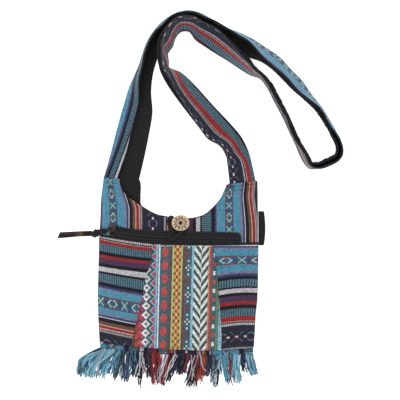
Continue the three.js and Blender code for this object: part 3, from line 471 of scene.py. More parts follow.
class BagColours(PropertyGroup):
    """Colours of the cloths, yarns and small parts."""

    band: colour_prop("Figured band", "Ground of the figured band", 64, 106, 124)
    blue: colour_prop("Blue", "Wide stripes beside the figured band", 84, 155, 182)
    lavender: colour_prop("Lavender", "Narrow stripe beside the blue", 126, 132, 164)
    indigo: colour_prop("Indigo", "Narrow stripe beside the lavender", 62, 70, 112)
    white: colour_prop("White", "White ribs and lines", 206, 203, 212)
    black: colour_prop("Black", "Black stripes", 26, 25, 32)
    brown: colour_prop("Brown", "Brown stripe", 112, 84, 66)
    blush: colour_prop("Blush", "Pale lines beside the red", 222, 178, 168)
    red: colour_prop("Red", "Red stripes", 158, 46, 48)
    grey: colour_prop("Grey", "Grey dotted line", 170, 168, 172)
    navy: colour_prop("Navy", "Wide dark stripe with figures", 42, 43, 60)
    teal: colour_prop("Teal", "Ribbed stripes", 36, 61, 75)
    teal_light: colour_prop("Light teal", "Light ribs in the teal stripes", 104, 140, 156)
    purple: colour_prop("Purple", "Purple stripe", 78, 56, 86)
    slate: colour_prop("Slate", "Ground of the patch", 70, 108, 122)
    pine: colour_prop("Pine", "Dark lines of the patch", 60, 100, 114)
    sky: colour_prop("Sky", "Light blue lines of the patch", 146, 202, 222)
    lime: colour_prop("Lime", "Lime stripe of the patch", 184, 220, 130)
    leaf: colour_prop("Leaf", "Green lines of the patch", 118, 146, 100)
    clay: colour_prop("Clay", "Clay line of the patch", 114, 96, 102)
    maroon: colour_prop("Maroon", "Maroon lines of the patch", 124, 76, 78)
    rust: colour_prop("Rust", "Orange red stripe of the patch", 194, 88, 62)
    dusk: colour_prop("Dusk", "Dark ground of the chevrons", 66, 84, 90)
    cream: colour_prop("Cream", "Chevrons and diamonds of the patch", 238, 244, 234)
    chalk: colour_prop("Chalk", "White lines and diamonds of the patch", 242, 250, 255)
    coral: colour_prop("Coral", "Ovals and dots of the patch", 204, 84, 78)
    pink: colour_prop("Pink", "Triangles of the patch", 208, 76, 106)
    amber: colour_prop("Amber", "Spots in the lime stripe", 224, 198, 142)
    lining: colour_prop("Lining", "Lining, zip and loop", 33, 31, 34)
    # Colour of the painted highlights on the slider and the pull.
    brass: colour_prop("Brass", "Rubbed places of the metal", 176, 150, 104)
    coconut: colour_prop("Coconut", "Pale shell of the button", 240, 218, 186)
    floor: colour_prop("Table", "Table under the bag", 250, 250, 250)


def sizes():
    return bpy.context.scene.bag_sizes


def tint(name):
    """A colour by its name, with its alpha."""
    if name in SHADES:
        return (*srgb(*SHADES[name]), 1.0)
    return (*getattr(bpy.context.scene.bag_colours, name), 1.0)


def math_step(operation, reflected=False):
    """An operator of a wire, which adds a Math node."""
    def step(wire, *others):
        values = (*others, wire) if reflected else (wire, *others)
        return wire.finish.math(operation, *values)

    return step


class Wire:
    """A shader socket that takes part in plain arithmetic; every step adds a Math node."""

    def __init__(self, finish, socket):
        self.finish = finish
        self.socket = socket

    __add__ = __radd__ = math_step("ADD")
    __sub__ = math_step("SUBTRACT")
    __rsub__ = math_step("SUBTRACT", True)
    __mul__ = __rmul__ = math_step("MULTIPLY")
    __truediv__ = math_step("DIVIDE")
    __rtruediv__ = math_step("DIVIDE", True)
    __mod__ = math_step("FLOORED_MODULO")
    __rmod__ = math_step("FLOORED_MODULO", True)
    __lt__ = math_step("LESS_THAN")
    __gt__ = math_step("GREATER_THAN")
    __and__ = __rand__ = math_step("MULTIPLY")
    __or__ = __ror__ = math_step("MAXIMUM")
    __abs__ = math_step("ABSOLUTE")


class Finish:
    """A material in the making. Its settings are constants of the shader."""

    def __init__(self, name, settings):
        self.material = bpy.data.materials.new(name)
        self.material.use_nodes = True
        self.tree = self.material.node_tree
        self.shader = self.tree.nodes["Principled BSDF"]
        for socket, value in settings.items():
            self.shader.inputs[socket].default_value = value

    def feed(self, socket, value):
        if isinstance(value, Wire):
            self.tree.links.new(value.socket, socket)
        else:
            socket.default_value = value

    def add(self, kind, settings, inputs, output=0):
        """Any node: its settings first, then the values or wires of its sockets."""
        node = self.tree.nodes.new(kind)
        for name, value in settings.items():
            if name == "stops":
                self.set_stops(node.color_ramp, value)
            else:
                setattr(node, name, value)
        for socket, value in inputs.items():
            self.feed(node.inputs[socket], value)
        return Wire(self, node.outputs[output])

    def set_stops(self, ramp, stops):
        ramp.interpolation = "CONSTANT"
        while len(ramp.elements) < len(stops):
            ramp.elements.new(1.0)
        for element, (place, colour) in zip(ramp.elements, stops):
            element.position = place
            element.color = colour

    def math(self, operation, *values):
        return self.add("ShaderNodeMath", {"operation": operation}, dict(enumerate(values)))

    def mix(self, factor, first, second, blend="MIX"):
        settings = {"data_type": "RGBA", "blend_type": blend}
        return self.add("ShaderNodeMix", settings, {0: factor, 6: first, 7: second}, 2)

    def paint(self, base, *coats):
        """Lays named colours over a base one after the other, each where its mask says."""
        for mask, name in coats:
            base = self.mix(mask, base, tint(name))
        return base

    def toned(self, base, tone):
        return self.mix(1.0, base, tone, "MULTIPLY")

    def split(self, vector):
        return [self.add("ShaderNodeSeparateXYZ", {}, {0: vector}, axis) for axis in range(3)]

    def join(self, x, y, z=0.0):
        return self.add("ShaderNodeCombineXYZ", {}, {0: x, 1: y, 2: z})

    def grey(self, value):
        return self.join(value, value, value)

    def wave(self, angle):
        """Sine of an angle, in the range 0 to 1."""
        return self.math("SINE", angle) * 0.5 + 0.5

    def grain(self, vector, scale, detail=2.0):
        return self.add("ShaderNodeTexNoise", {}, {"Vector": vector, "Scale": scale, "Detail": detail})

    def weave(self):
        return self.split(self.add("ShaderNodeUVMap", {"uv_map": "weave"}, {}))[:2]

    def place(self):
        return self.add("ShaderNodeTexCoord", {}, {}, 3)

    def around(self, value, period):
        """Distance, with its sign, from the nearest of the places that lie a period apart."""
        return (value + period / 2) % period - period / 2

    def bump(self, height, strength, distance):
        """Relief from a height in the range 0 to 1."""
        inputs = {"Strength": strength, "Distance": distance * MM, "Height": height}
        self.feed(self.shader.inputs["Normal"], self.add("ShaderNodeBump", {}, inputs))

    def done(self, base, roughness):
        self.feed(self.shader.inputs["Base Color"], base)
        self.feed(self.shader.inputs["Roughness"], roughness)
        return self.material


def striped(cloth, stripes, place):
    """Colours of stripes with their widths, at a place across them."""
    total = sum(width for _, width in stripes)
    stops, start = [], 0.0
    for name, width in stripes:
        stops.append((start / total, tint(name)))
        start += width
    return cloth.add("ShaderNodeValToRGB", {"stops": stops}, {0: place / total})


def threads(cloth, along, across, fine=2.6):
    """Uneven yarn colour, the relief of a plain weave and fine flecks, on a cloth's own coordinates."""
    streak = cloth.grain(cloth.join(along * 0.12, across * 1.1), 1.0, 3.0)
    slub = cloth.grain(cloth.join(along * 0.45, across * 0.7, 3.7), 1.0, 2.0)
    cast = cloth.grain(cloth.join(along * 0.16, across * 0.5, 9.1), 1.0, 1.0)
    fleck = cloth.grain(cloth.join(along * fine, across * fine * 0.6), 1.0, 1.0)
    tone = streak * 0.4 + slub * 1.6 + fleck * 0.3 - 0.15
    tone = cloth.join(tone * (0.86 + cast * 0.28), tone, tone * (1.12 - cast * 0.24))
    warp = cloth.math("SINE", across * 7.4)
    weft = cloth.math("SINE", along * 7.4)
    return tone, warp * weft * 0.25 + 0.5, fleck


CLOTH_SHADER = {"Sheen Weight": 0.12, "Sheen Roughness": 0.6, "Specular IOR Level": 0.25}


def striped_cloth():
    """Main cloth: upright stripes, a figured band, a dark stripe with rings and crosses, fine ribs."""
    cloth = Finish("striped_cotton", CLOTH_SHADER)
    u, v = cloth.weave()
    tone, relief, fleck = threads(cloth, u, v)
    p = (v + (fleck - 0.5) * 0.5) % REPEAT

    def within(stripe):
        return (p > STARTS[stripe]) & (p < STARTS[stripe + 1])

    def middle(stripe):
        return p - (STARTS[stripe] + STARTS[stripe + 1]) / 2

    ribs = (within(FIRST_TEAL) | within(SECOND_TEAL)) & cloth.wave(u * 2.6 + fleck * 1.6)
    dash = (u % 2.2 > 1.3) * 0.75
    base = cloth.paint(
        striped(cloth, STRIPES, p),
        (ribs, "teal_light"),
        *[(within(stripe) & dash, "black") for stripe in DASHED],
        (within(WHITE_RIB) & cloth.wave(v * 5.6) * 0.35, "grey"),
    )

    band, w = within(BAND), middle(BAND)
    q = abs(w)
    m = abs(cloth.around(u, BAND_REPEAT))
    n = BAND_REPEAT / 2 - m
    lozenge = m / 5.9 + q / 4.3
    eye = band & (abs(n - 5.6) < 2.4) & (q > 2.6)
    base = cloth.paint(
        base,
        (eye, "plum"),
        (eye & (w > 0), "violet"),
        (band & (abs(n - 5.8) < 1.7) & (q < 1.9), "denim"),
        (band & (lozenge < 0.68), "lagoon"),
        (band & (lozenge < 0.3), "lake"),
        (band & (abs(lozenge - 0.86) < 0.14) & (q < 3.1), "silver"),
        (band & (abs(n * 0.95 - q) < 0.65) & (n < 3.5), "mint"),
        (band & (m < 2.4) & (q > 2.9), "brick"),
    )

    navy, w = within(NAVY_STRIPE), abs(middle(NAVY_STRIPE))
    d = abs(cloth.around(u - NAVY_START, NAVY_REPEAT))
    e = NAVY_REPEAT / 2 - d
    ring = cloth.math("SQRT", d * d + w * w)
    arm = navy & (abs(e * 0.85 - w) < 0.5)
    knot = (abs(d - 5.9) < 1.3) & (w < 1.0) | (e < 1.6) & (w < 0.95)
    base = cloth.paint(
        base,
        (navy & (abs(ring - 4.2) < 0.7), "mulberry"),
        (navy & (w > d) & (abs(ring - 4.5) < 0.55), "steel"),
        (arm & (e < 3.4), "rose"),
        (arm & (abs(e - 5.2) < 1.6), "smoke"),
        (navy & knot, "pearl"),
    )
    cloth.bump(relief + ribs * 0.8, 0.5, 0.35)
    return cloth.done(cloth.toned(base, tone), 0.84 + fleck * 0.12)


def patch_cloth():
    """Brocade of the middle patch: narrow stripes with diamonds, ovals, checks and chevrons, in threads."""
    cloth = Finish("patch_brocade", CLOTH_SHADER)
    t, s = cloth.weave()
    tone, relief, fleck = threads(cloth, t, s)

    def figure(name):
        """Distances across and down from the middle of the nearest figure, with their signs."""
        middle, first, repeat = FIGURES[name]
        return s - middle, cloth.around(t - first, repeat)

    def off(name):
        return [abs(distance) for distance in figure(name)]

    across, slant = figure("dash")
    side, down = off("diamond")
    diamond = side / 4.5 + down / 4.4
    rise, tooth = figure("tooth")
    wedge = rise * 0.86 - abs(tooth)
    base = cloth.paint(
        striped(cloth, PATCH_STRIPES, s - PATCH_FIRST),
        ((abs(t - 245.7) < 0.7) & 0.55, "frost"),
        ((abs(across) < 1.7) & (abs(slant - 2) < 2.8), "rust"),
        ((abs(across - 3.8 - slant * 0.45) < 1.8) & (abs(slant) < 3.7), "pink"),
        (diamond < 1, "ecru"),
        ((diamond < 1) & (s < 148.3), "chalk"),
        (diamond < 0.33, "dusk"),
        ((s < 156) & (wedge > -0.9), "sky"),
        ((s < 156) & (wedge > 0.4), "pink"),
    )

    side, down = off("oval")
    oval = cloth.math("POWER", side / 3.1, 1.6) + cloth.math("POWER", down / 5.2, 1.6)
    check, pair = off("check")
    spot, single = off("spot")
    base = cloth.paint(
        base,
        (side < 0.7, "clay"),
        (oval < 1, "coral"),
        ((s > 173.6) & (s < 181.3), "straw"),
        (check / 1.8 + pair / 2 < 1.1, "amber"),
        ((abs(check - 2.5) < 1.25) & (pair < 1.6), "ochre"),
        ((spot < 1.3) & (single < 1.7), "paprika"),
    )

    side, star = off("star")
    bar = off("bar")[1]
    dots = (abs(side - 2.1) < 0.75) & (star < 0.8) | (side < 0.75) & (abs(star - 2.2) < 0.8)
    dots = dots | (side < 0.75) & (abs(bar - 6.7) < 0.85)
    climb = cloth.math("FLOOR", abs(s - CHEVRON_MIDDLE) / 1.25) * 1.7 + (s > CHEVRON_MIDDLE) * 4.6
    chevrons = (s > CHEVRON_FROM) & (s < CHEVRON_TO) & ((t + climb - 5.9) % CHEVRON_REPEAT < 4.7)
    cream_side, cream_down = off("cream dot")
    coral_side, coral_down = off("coral dot")
    base = cloth.paint(
        base,
        ((side < 2.6) & (bar < 3.2), "mauve"),
        (dots | chevrons | (cream_side < 1.3) & (cream_down < 2), "cream"),
        ((coral_side < 1.4) & (coral_down < 2), "coral"),
    )
    cloth.bump(relief + fleck * 0.5, 0.5, 0.3)
    return cloth.done(cloth.toned(base, tone), 0.8 + fleck * 0.14)


def plain_cloth(name, colour, ridge=0.0, lengthwise=False):
    """Plain dark cloth, or a woven tape where ridge gives the distance between its lines; along them the
    colour carries painted shade in the grooves and a painted highlight on the crests.
    """
    cloth = Finish(name, CLOTH_SHADER)
    u, v = cloth.weave()
    tone, height, fleck = threads(cloth, u, v)
    if ridge:
        line = cloth.wave((u if lengthwise else v) * (2 * math.pi / ridge))
        # Painted shade and highlight: the colour is darkened in the grooves between the ridges and lightened
        # on their crests.
        tone = cloth.toned(tone, cloth.grey(0.45 + line))
        height = height * 0.4 + line
    cloth.bump(height, 0.45, 0.3)
    return cloth.done(cloth.toned(tint(colour), tone), 0.8 + fleck * 0.15)


def thong_cloth():
    """Dark folded tape with a worn reddish stretch and one ochre mark."""
    cloth = Finish("thong_cotton", CLOTH_SHADER)
    u, v = cloth.weave()
    tone, relief, fleck = threads(cloth, u, v)
    mark = 1 - abs(u - 14) / 5
    base = cloth.paint(
        tint("soot"),
        ((u > 17) & (u < 39) & (abs(v - 6.6) < 2.6), "worn"),
        ((mark > 0) & mark, "mark"),
        ((abs(u - 18) < 2.6) & 0.7, "rubbed"),
    )
    cloth.bump(relief, 0.5, 0.3)
    return cloth.done(cloth.toned(base, tone), 0.8 + fleck * 0.15)


def yarn_cotton():
    """Loose cotton yarn: each takes its colour from its own points, with a twist along it."""
    yarn = Finish("fringe_cotton", CLOTH_SHADER)
    u, v = yarn.weave()
    own = yarn.add("ShaderNodeAttribute", {"attribute_name": "yarn"}, {})
    twist = yarn.wave(u * 5.2 + v * 6.2832)
    fleck = yarn.grain(yarn.join(u * 0.8, v * 2.0), 1.0)
    yarn.bump(twist, 0.6, 0.25)
    return yarn.done(yarn.toned(own, yarn.grey(0.6 + twist * 0.22 + fleck * 0.5)), 0.9 - fleck * 0.1)


def old_brass():
    """Darkened metal with brighter brass flecks at random, which are painted highlights."""
    metal = Finish("old_brass", {"Metallic": 0.85})
    place = metal.place()
    patina = metal.grain(place, 420.0, 3.0)
    relief_and_glint_noise = metal.grain(place, 1600.0, 2.0)
    metal.bump(relief_and_glint_noise, 0.2, 0.05)
    # The brass flecks are painted highlights that stand in for glints on the metal.
    return metal.done(metal.paint(tint("patina"), ((patina > 0.58) & relief_and_glint_noise, "brass")), 0.26 + patina * 0.3)


def coconut_shell():
    """Turned shell: pale rim with burnt notches, greyish dished middle."""
    shell = Finish("coconut_shell", {"Coat Weight": 0.08, "Coat Roughness": 0.3})
    inputs = {"Vector": shell.place(), "Location": (-BUTTON_AT[0] * MM, -BUTTON_AT[1] * MM, 0)}
    x, y, _ = shell.split(shell.add("ShaderNodeMapping", {"vector_type": "POINT"}, inputs))
    y = y / BUTTON_SQUASH
    radius = shell.math("SQRT", x * x + y * y) / MM
    turn = shell.math("ARCTAN2", y, x)
    fibre = shell.grain(shell.join(radius * 0.9, turn * 3.0), 1.0, 3.0)
    cloud = shell.grain(shell.place(), 260.0, 2.0)
    notch = shell.math("SINE", turn * 12 + cloud * 9) * 0.5 + cloud > 0.72
    spoke = shell.math("SINE", turn * 18 + cloud * 5) > 0.2
    base = shell.paint(
        tint("coconut"),
        (cloud * 0.7, "husk"),
        ((abs(radius - 7.2) < 0.7 + cloud * 1.4) & notch, "burnt"),
        ((abs(radius - 5.6) < 0.45) & 0.85, "burnt"),
        ((abs(radius - 4.4) < 0.8) & spoke & 0.8, "singed"),
        (abs(radius - 3) < 0.55, "ash"),
        (radius < 2.3, "char"),
    )
    shell.bump(fibre, 0.35, 0.12)
    return shell.done(shell.toned(base, shell.grey(0.8 + fibre * 0.4)), 0.42 + fibre * 0.2)


def table_top():
    """Pale table, very slightly uneven, a little bright of its own as a lit table is."""
    table = Finish("pale_table", {"Emission Color": (1, 1, 1, 1), "Emission Strength": 0.8})
    cloud = table.grain(table.place(), 6.0, 2.0)
    return table.done(table.paint(tint("floor"), (cloud, "table_cloud")), 0.6 + cloud * 0.1)


MATERIALS = {
    "striped": (striped_cloth,),
    "patch": (patch_cloth,),
    "lining": (plain_cloth, "black_lining", "lining"),
    "tape": (plain_cloth, "zip_tape_weave", "tape", TAPE_LINES),
    "coil": (plain_cloth, "zip_coil_nylon", "coil", TAPE_LINES, True),
    "label": (plain_cloth, "label_satin", "lining", 0.8),
    "thread": (plain_cloth, "seam_thread", "thread"),
    "thong": (thong_cloth,),
    "yarn": (yarn_cotton,),
    "brass": (old_brass,),
    "coconut": (coconut_shell,),
    "table": (table_top,),
}
READY = {}


def finish(name):
    """A material, made at its first use and shared after that."""
    if name not in READY:
        maker, *values = MATERIALS[name]
        READY[name] = maker(*values)
    return READY[name]


def new_bmesh():
    bm = bmesh.new()
    bm.loops.layers.uv.new("weave")
    return bm


def laid_grid(bm, across, down, place, colour=None):
    """Adds a grid and lays each of its points where place says: a point in millimetres and its weave."""
    weave = bm.loops.layers.uv.verify()
    paint = bm.verts.layers.float_color.verify() if colour else None
    verts = bmesh.ops.create_grid(bm, x_segments=across, y_segments=down, size=0.5)["verts"]
    spots = {}
    for vert in verts:
        point, spots[vert] = place(vert.co.x + 0.5, vert.co.y + 0.5)
        vert.co = Vector(point) * MM
        if colour:
            vert[paint] = colour
    for face in {face for vert in verts for face in vert.link_faces}:
        for loop in face.loops:
            loop[weave].uv = spots[loop.vert]


def rolled(bm, route, radius, sides, rings, flat=1.0, colour=None):
    """Adds a closed round cord along route(t), as thick as radius(t), its height flattened by flat."""
    span = (Vector(route(1.0)) - Vector(route(0.0))).length

    def place(u, v):
        ring = round(v * rings)
        t = min(max((ring - 1) / (rings - 2), 0.0), 1.0)
        thick = 0.0 if ring in (0, rings) else radius(t)
        ahead = Vector(route(min(t + 0.01, 1.0))) - Vector(route(max(t - 0.01, 0.0)))
        ahead.normalize()
        side = ahead.cross(Vector((0, 0, 1)))
        side = side.normalized() if side.length > 0.05 else Vector((1, 0, 0))
        up = side.cross(ahead)
        turn = 2 * math.pi * u
        at = Vector(route(t)) + side * (thick * math.cos(turn)) + up * (thick * flat * math.sin(turn))
        return at, (t * span, u)

    laid_grid(bm, sides, rings, place, colour)


def capsule(bm, start, end, radius, sides=6, rings=6):
    """Adds a short rounded rod, such as a stitch or a tooth."""
    start, end = Vector(start), Vector(end)
    rolled(bm, lambda t: start.lerp(end, t), lambda t: radius * (1 - (2 * t - 1) ** 4 * 0.55), sides, rings)


def weld(bm, near=1e-6):
    bmesh.ops.remove_doubles(bm, verts=bm.verts, dist=near)
    bmesh.ops.recalc_face_normals(bm, faces=bm.faces)


def soften(bm, edges, width):
    bmesh.ops.bevel(
        bm, geom=edges, offset=width, offset_type="OFFSET", segments=2, profile=0.5, affect="EDGES",
        material=-1,
    )


def to_object(name, bm):
    mesh = bpy.data.meshes.new(name)
    bm.to_mesh(mesh)
    bm.free()
    piece = bpy.data.objects.new(name, mesh)
    bpy.context.collection.objects.link(piece)
    return piece


def apply_modifiers(piece):
    """Keeps the shape that the modifiers give, and drops the modifiers."""
    bpy.context.view_layer.update()
    shaped = piece.evaluated_get(bpy.context.evaluated_depsgraph_get())
    mesh = bpy.data.meshes.new_from_object(shaped)
    piece.modifiers.clear()
    piece.data = mesh


def make(name, bm, material, node=None, wall=0.0, sharp=40):
    """Finishes a piece: wall, shading, material, body, and hides the solid that it stands for."""
    piece = to_object(name, bm)
    if wall:
        shell = piece.modifiers.new("wall", "SOLIDIFY")
        shell.thickness = wall
        shell.offset = 0
        apply_modifiers(piece)
    piece.data.shade_smooth()
    piece.data.set_sharp_from_angle(angle=math.radians(sharp))
    piece.data.materials.append(finish(material))
    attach(piece, "root")
    if node:
        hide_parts(node)
    return piece


def lay(name, material, slot, node, wall, *grids):
    """Makes a piece of cloth from grids, each with its cells across and down and its place."""
    bm = new_bmesh()
    for grid in grids:
        laid_grid(bm, *grid)
    return make(name, bm, material, node, wall)


def body_spot(neck, u, v):
    """A place on a panel of the bag, u across it and v from the bottom seam up to wings and neckline."""
    if u < LEFT_SHARE:
        top = [lerp(a, b, u / LEFT_SHARE) for a, b in zip(LEFT_CORNER, neck.at(0))]
    elif u > 1 - RIGHT_SHARE:
        top = [lerp(b, a, (1 - u) / RIGHT_SHARE) for a, b in zip(neck.at(1), RIGHT_CORNER)]
    else:
        top = neck.at((u - LEFT_SHARE) / (1 - LEFT_SHARE - RIGHT_SHARE))
    high = (top[0] - left_side(top[1])) / (right_side(top[1]) - left_side(top[1]))
    share = lerp(u, high, smoothstep(0, 1, v))
    x = lerp(ROUGH_LEFT, ROUGH_RIGHT, share)
    for _ in range(3):
        y = lerp(bottom_edge(x), top[1], v)
        x = lerp(left_side(y), right_side(y), share)
    return x, y


def yoke_weave(x, y):
    """Cloth coordinates of the upright stripes, which bend inwards with the left wing."""
    bend = smoothstep(-13, 24, y)
    left = (x - LEFT_BAND_X + LEFT_SHIFT * bend) / (1 - LEFT_PINCH * bend)
    right = x - RIGHT_BAND_X - RIGHT_SHIFT * smoothstep(2, 18, y)
    if left < 0:
        left *= LEFT_SEAM_PINCH
    if right > 0:
        right /= 1 - RIGHT_SEAM_PINCH * smoothstep(-35, 15, y)
    return 7 - y, BAND_MIDDLE + lerp(left, right + REPEAT, smoothstep(-75, 20, x))


def left_pocket_weave(x, y):
    """Cloth coordinates of the stripes that fall to the right, more steeply near the side seam."""
    down = LEFT_TOP_Y - y
    slope = LEFT_SLOPE - LEFT_DIP * math.exp(-(((down - LEFT_DIP_DOWN) / LEFT_DIP_RUN) ** 2))
    sag = LEFT_SAG - LEFT_SAG_LOSS * min(max(down / LEFT_SAG_RUN, 0.0), 1.0)
    run = x - LEFT_FROM_X
    return x + 17.8, LEFT_STRIPES.at(down - slope * run + sag * run * run)[0]


def right_pocket_weave(x, y):
    """Cloth coordinates of the stripes that rise to the right and level out at the side seam."""
    arch = RIGHT_ARCH * smoothstep(-52, -95, y)
    down = RIGHT_TOP_Y - y - arch * (RIGHT_CROWN_X - x) ** 2
    along = lerp(RIGHT_PACE_TOP, RIGHT_PACE_FOOT, smoothstep(-75, -140, y))
    return 187.1 + along * (x - 29.25), REPEAT - RIGHT_STRIPES.at(down)[0]


def patch_weave(x, y):
    """Thread counts of the patch, whose stripes lean a little to the left on their way down."""
    row = 200 - y / THREAD
    return row, 200 + x / THREAD + PATCH_LEAN * (row - PATCH_UPRIGHT_ROW)


def wrinkled(x, y, seed):
    lift = sizes().wrinkle / MM
    return lift * (ripple(x, y, 26, seed) + 0.45 * ripple(x, y, 9, seed + 5))


def lap(v, y):
    """How much a panel's edge laps over the strap: all of it at the wings' tops, nothing elsewhere."""
    return smoothstep(0.985, 1.0, v) * smoothstep(10, 15, y)


def panel(neck, height, over=0.0):
    """Places of a panel under a neckline, at height(x, y), lapping over the strap."""
    def place(u, v):
        x, y = body_spot(neck, u, v)
        y += over * lap(v, y)
        return (x, y, height(x, y)), yoke_weave(x, y)

    return place


class BAG_OT_body(Operator):
    """Back and front panels of the bag, and the black lining between them"""

    bl_idname = "bag.body"
    bl_label = "Bag body"

    def execute(self, context):
        def front(x, y):
            near = min(from_sides(x, y), y - bottom_edge(x))
            return front_under(x, y) + CLOTH / 2 + wrinkled(x, y, 1.0) * smoothstep(0, 12, near)

        def back(x, y):
            return CLOTH / 2

        def inner(x, y):
            left, right = left_side(y) + LINING_INSET, right_side(y) - LINING_INSET
            return min(max(x, left), right), max(y, bottom_edge(x) + LINING_INSET)

        def lower(u, v):
            x, y = body_spot(BACK_NECK, u, v)
            over = lap(v, y)
            x, y = inner(x, y + 2.2 * over)
            return (x, y, SEAM_Z + LINING / 2 + 0.9 * over), (x, y)

        def upper(u, v):
            x, y = body_spot(FRONT_NECK, u, v)
            y += 1.1 * smoothstep(0.9, 1.0, v) * smoothstep(26, 16, y)
            x, y = inner(x, y)
            return (x, y, front_under(x, y) - 0.6 - LINING / 2), (x, y)

        wall = sizes().cloth_wall
        face = (110, 100, panel(FRONT_NECK, front, FRONT_LAP))
        lay("bag_front", "striped", "striped_cloth", "front_panel", wall, face)
        lay("bag_back", "striped", "striped_cloth", "back_panel", wall, (90, 80, panel(BACK_NECK, back)))
        walls = (60, 50, lower), (70, 60, upper)
        lay("bag_lining_pouch", "lining", "lining_cloth", "bag_lining", sizes().lining_wall, *walls)
        return {"FINISHED"}


def pocket_height(x, y):
    """Middle layer of the pocket's cloth, pressed down and puckered along its seams."""
    near = min(abs(x - patch_left(y)), abs(x - patch_right(y)))
    press = sizes().pucker / MM * math.exp(-near / SEAM_PRESS)
    dimple = press * (0.6 + math.sin(y * 1.15 + 2 * ripple(x, y, 12, 3.0)))
    wrinkle = wrinkled(x, y, 2.0) * smoothstep(0, 10, from_pocket_edge(x, y))
    return pocket_under(x, y) + CLOTH / 2 + wrinkle - dimple


def pocket_cloth(left, right, weave):
    """Places of a cloth of the pocket, between two seams that are functions of y."""
    def place(u, v):
        x = lerp(left(POCKET_MIDDLE_Y), right(POCKET_MIDDLE_Y), u)
        for _ in range(4):
            y = lerp(bottom_edge(x), pocket_top(x), v)
            x = lerp(left(y), right(y), u)
        return (x, y, pocket_height(x, y)), weave(x, y)

    return place


class BAG_OT_pocket(Operator):
    """Three pieced cloths of the zip pocket and the black binding along its top"""

    bl_idname = "bag.pocket"
    bl_label = "Zip pocket"

    def execute(self, context):
        cloths = [
            ("left", "striped", 46, left_side, lambda y: patch_left(y) - GAP, left_pocket_weave),
            ("centre", "patch", 70, patch_left, patch_right, patch_weave),
            ("right", "striped", 38, lambda y: patch_right(y) + GAP, right_side, right_pocket_weave),
        ]
        for side, cloth, across, *seams_and_weave in cloths:
            node = "pocket_" + side
            grid = (across, 84, pocket_cloth(*seams_and_weave))
            lay(node + "_cloth", cloth, cloth + "_cloth", node, sizes().cloth_wall, grid)

        def rim(u, v):
            y = -48.0
            x = lerp(BINDING_LEFT, right_side(y), u)
            y = pocket_top(x) + GAP + BINDING_WIDTH * v
            x = lerp(BINDING_LEFT, right_side(y), u)
            roll = 0.35 * math.sin(math.pi * v)
            return (x, y, front_top(x, y) + GAP + BINDING_WALL / 2 + roll), (x, y)

        lay("pocket_rim", "lining", "zip_cloth", "pocket_binding", BINDING_WALL * MM, (100, 6, rim))
        return {"FINISHED"}


def zip_middle(x):
    return (tape_top(x) + pocket_top(x) + BINDING_WIDTH) / 2


def seat(spot, length, clear):
    """Placing of a rigid part on the front's slope, clear of the cloth under it."""
    half = length / 2
    x, y = spot
    left, right = front_top(x - half, y), front_top(x + half, y)
    rise = 0.0
    for i in range(9):
        under = x + (i / 4 - 1) * half
        chord = lerp(left, right, i / 8)
        rise = max(rise, front_top(under, y + 5) - chord, front_top(under, y - 5) - chord)
    lift = Matrix.Translation((x, y, (left + right) / 2 + rise + clear))
    return lift @ Matrix.Rotation(-math.atan2(right - left, length), 4, "Y")


def plate(bm, outline, low, high, bevel):
    """Adds a flat part over an outline, with softened edges."""
    verts = [bm.verts.new((x, y, low)) for x, y in outline]
    face = bm.faces.new(verts)
    raised = bmesh.ops.extrude_face_region(bm, geom=[face])["geom"]
    top = [item for item in raised if isinstance(item, bmesh.types.BMVert)]
    bmesh.ops.translate(bm, verts=top, vec=(0, 0, high - low))
    whole = verts + top
    bmesh.ops.recalc_face_normals(bm, faces=list({f for v in whole for f in v.link_faces}))
    soften(bm, [edge for edge in {e for v in whole for e in v.link_edges} if not edge.is_boundary], bevel)


def put(bm, matrix):
    """Moves a part that was made about its own origin, in millimetres, to its place in metres."""
    bmesh.ops.transform(bm, matrix=Matrix.Scale(MM, 4) @ matrix, verts=bm.verts)


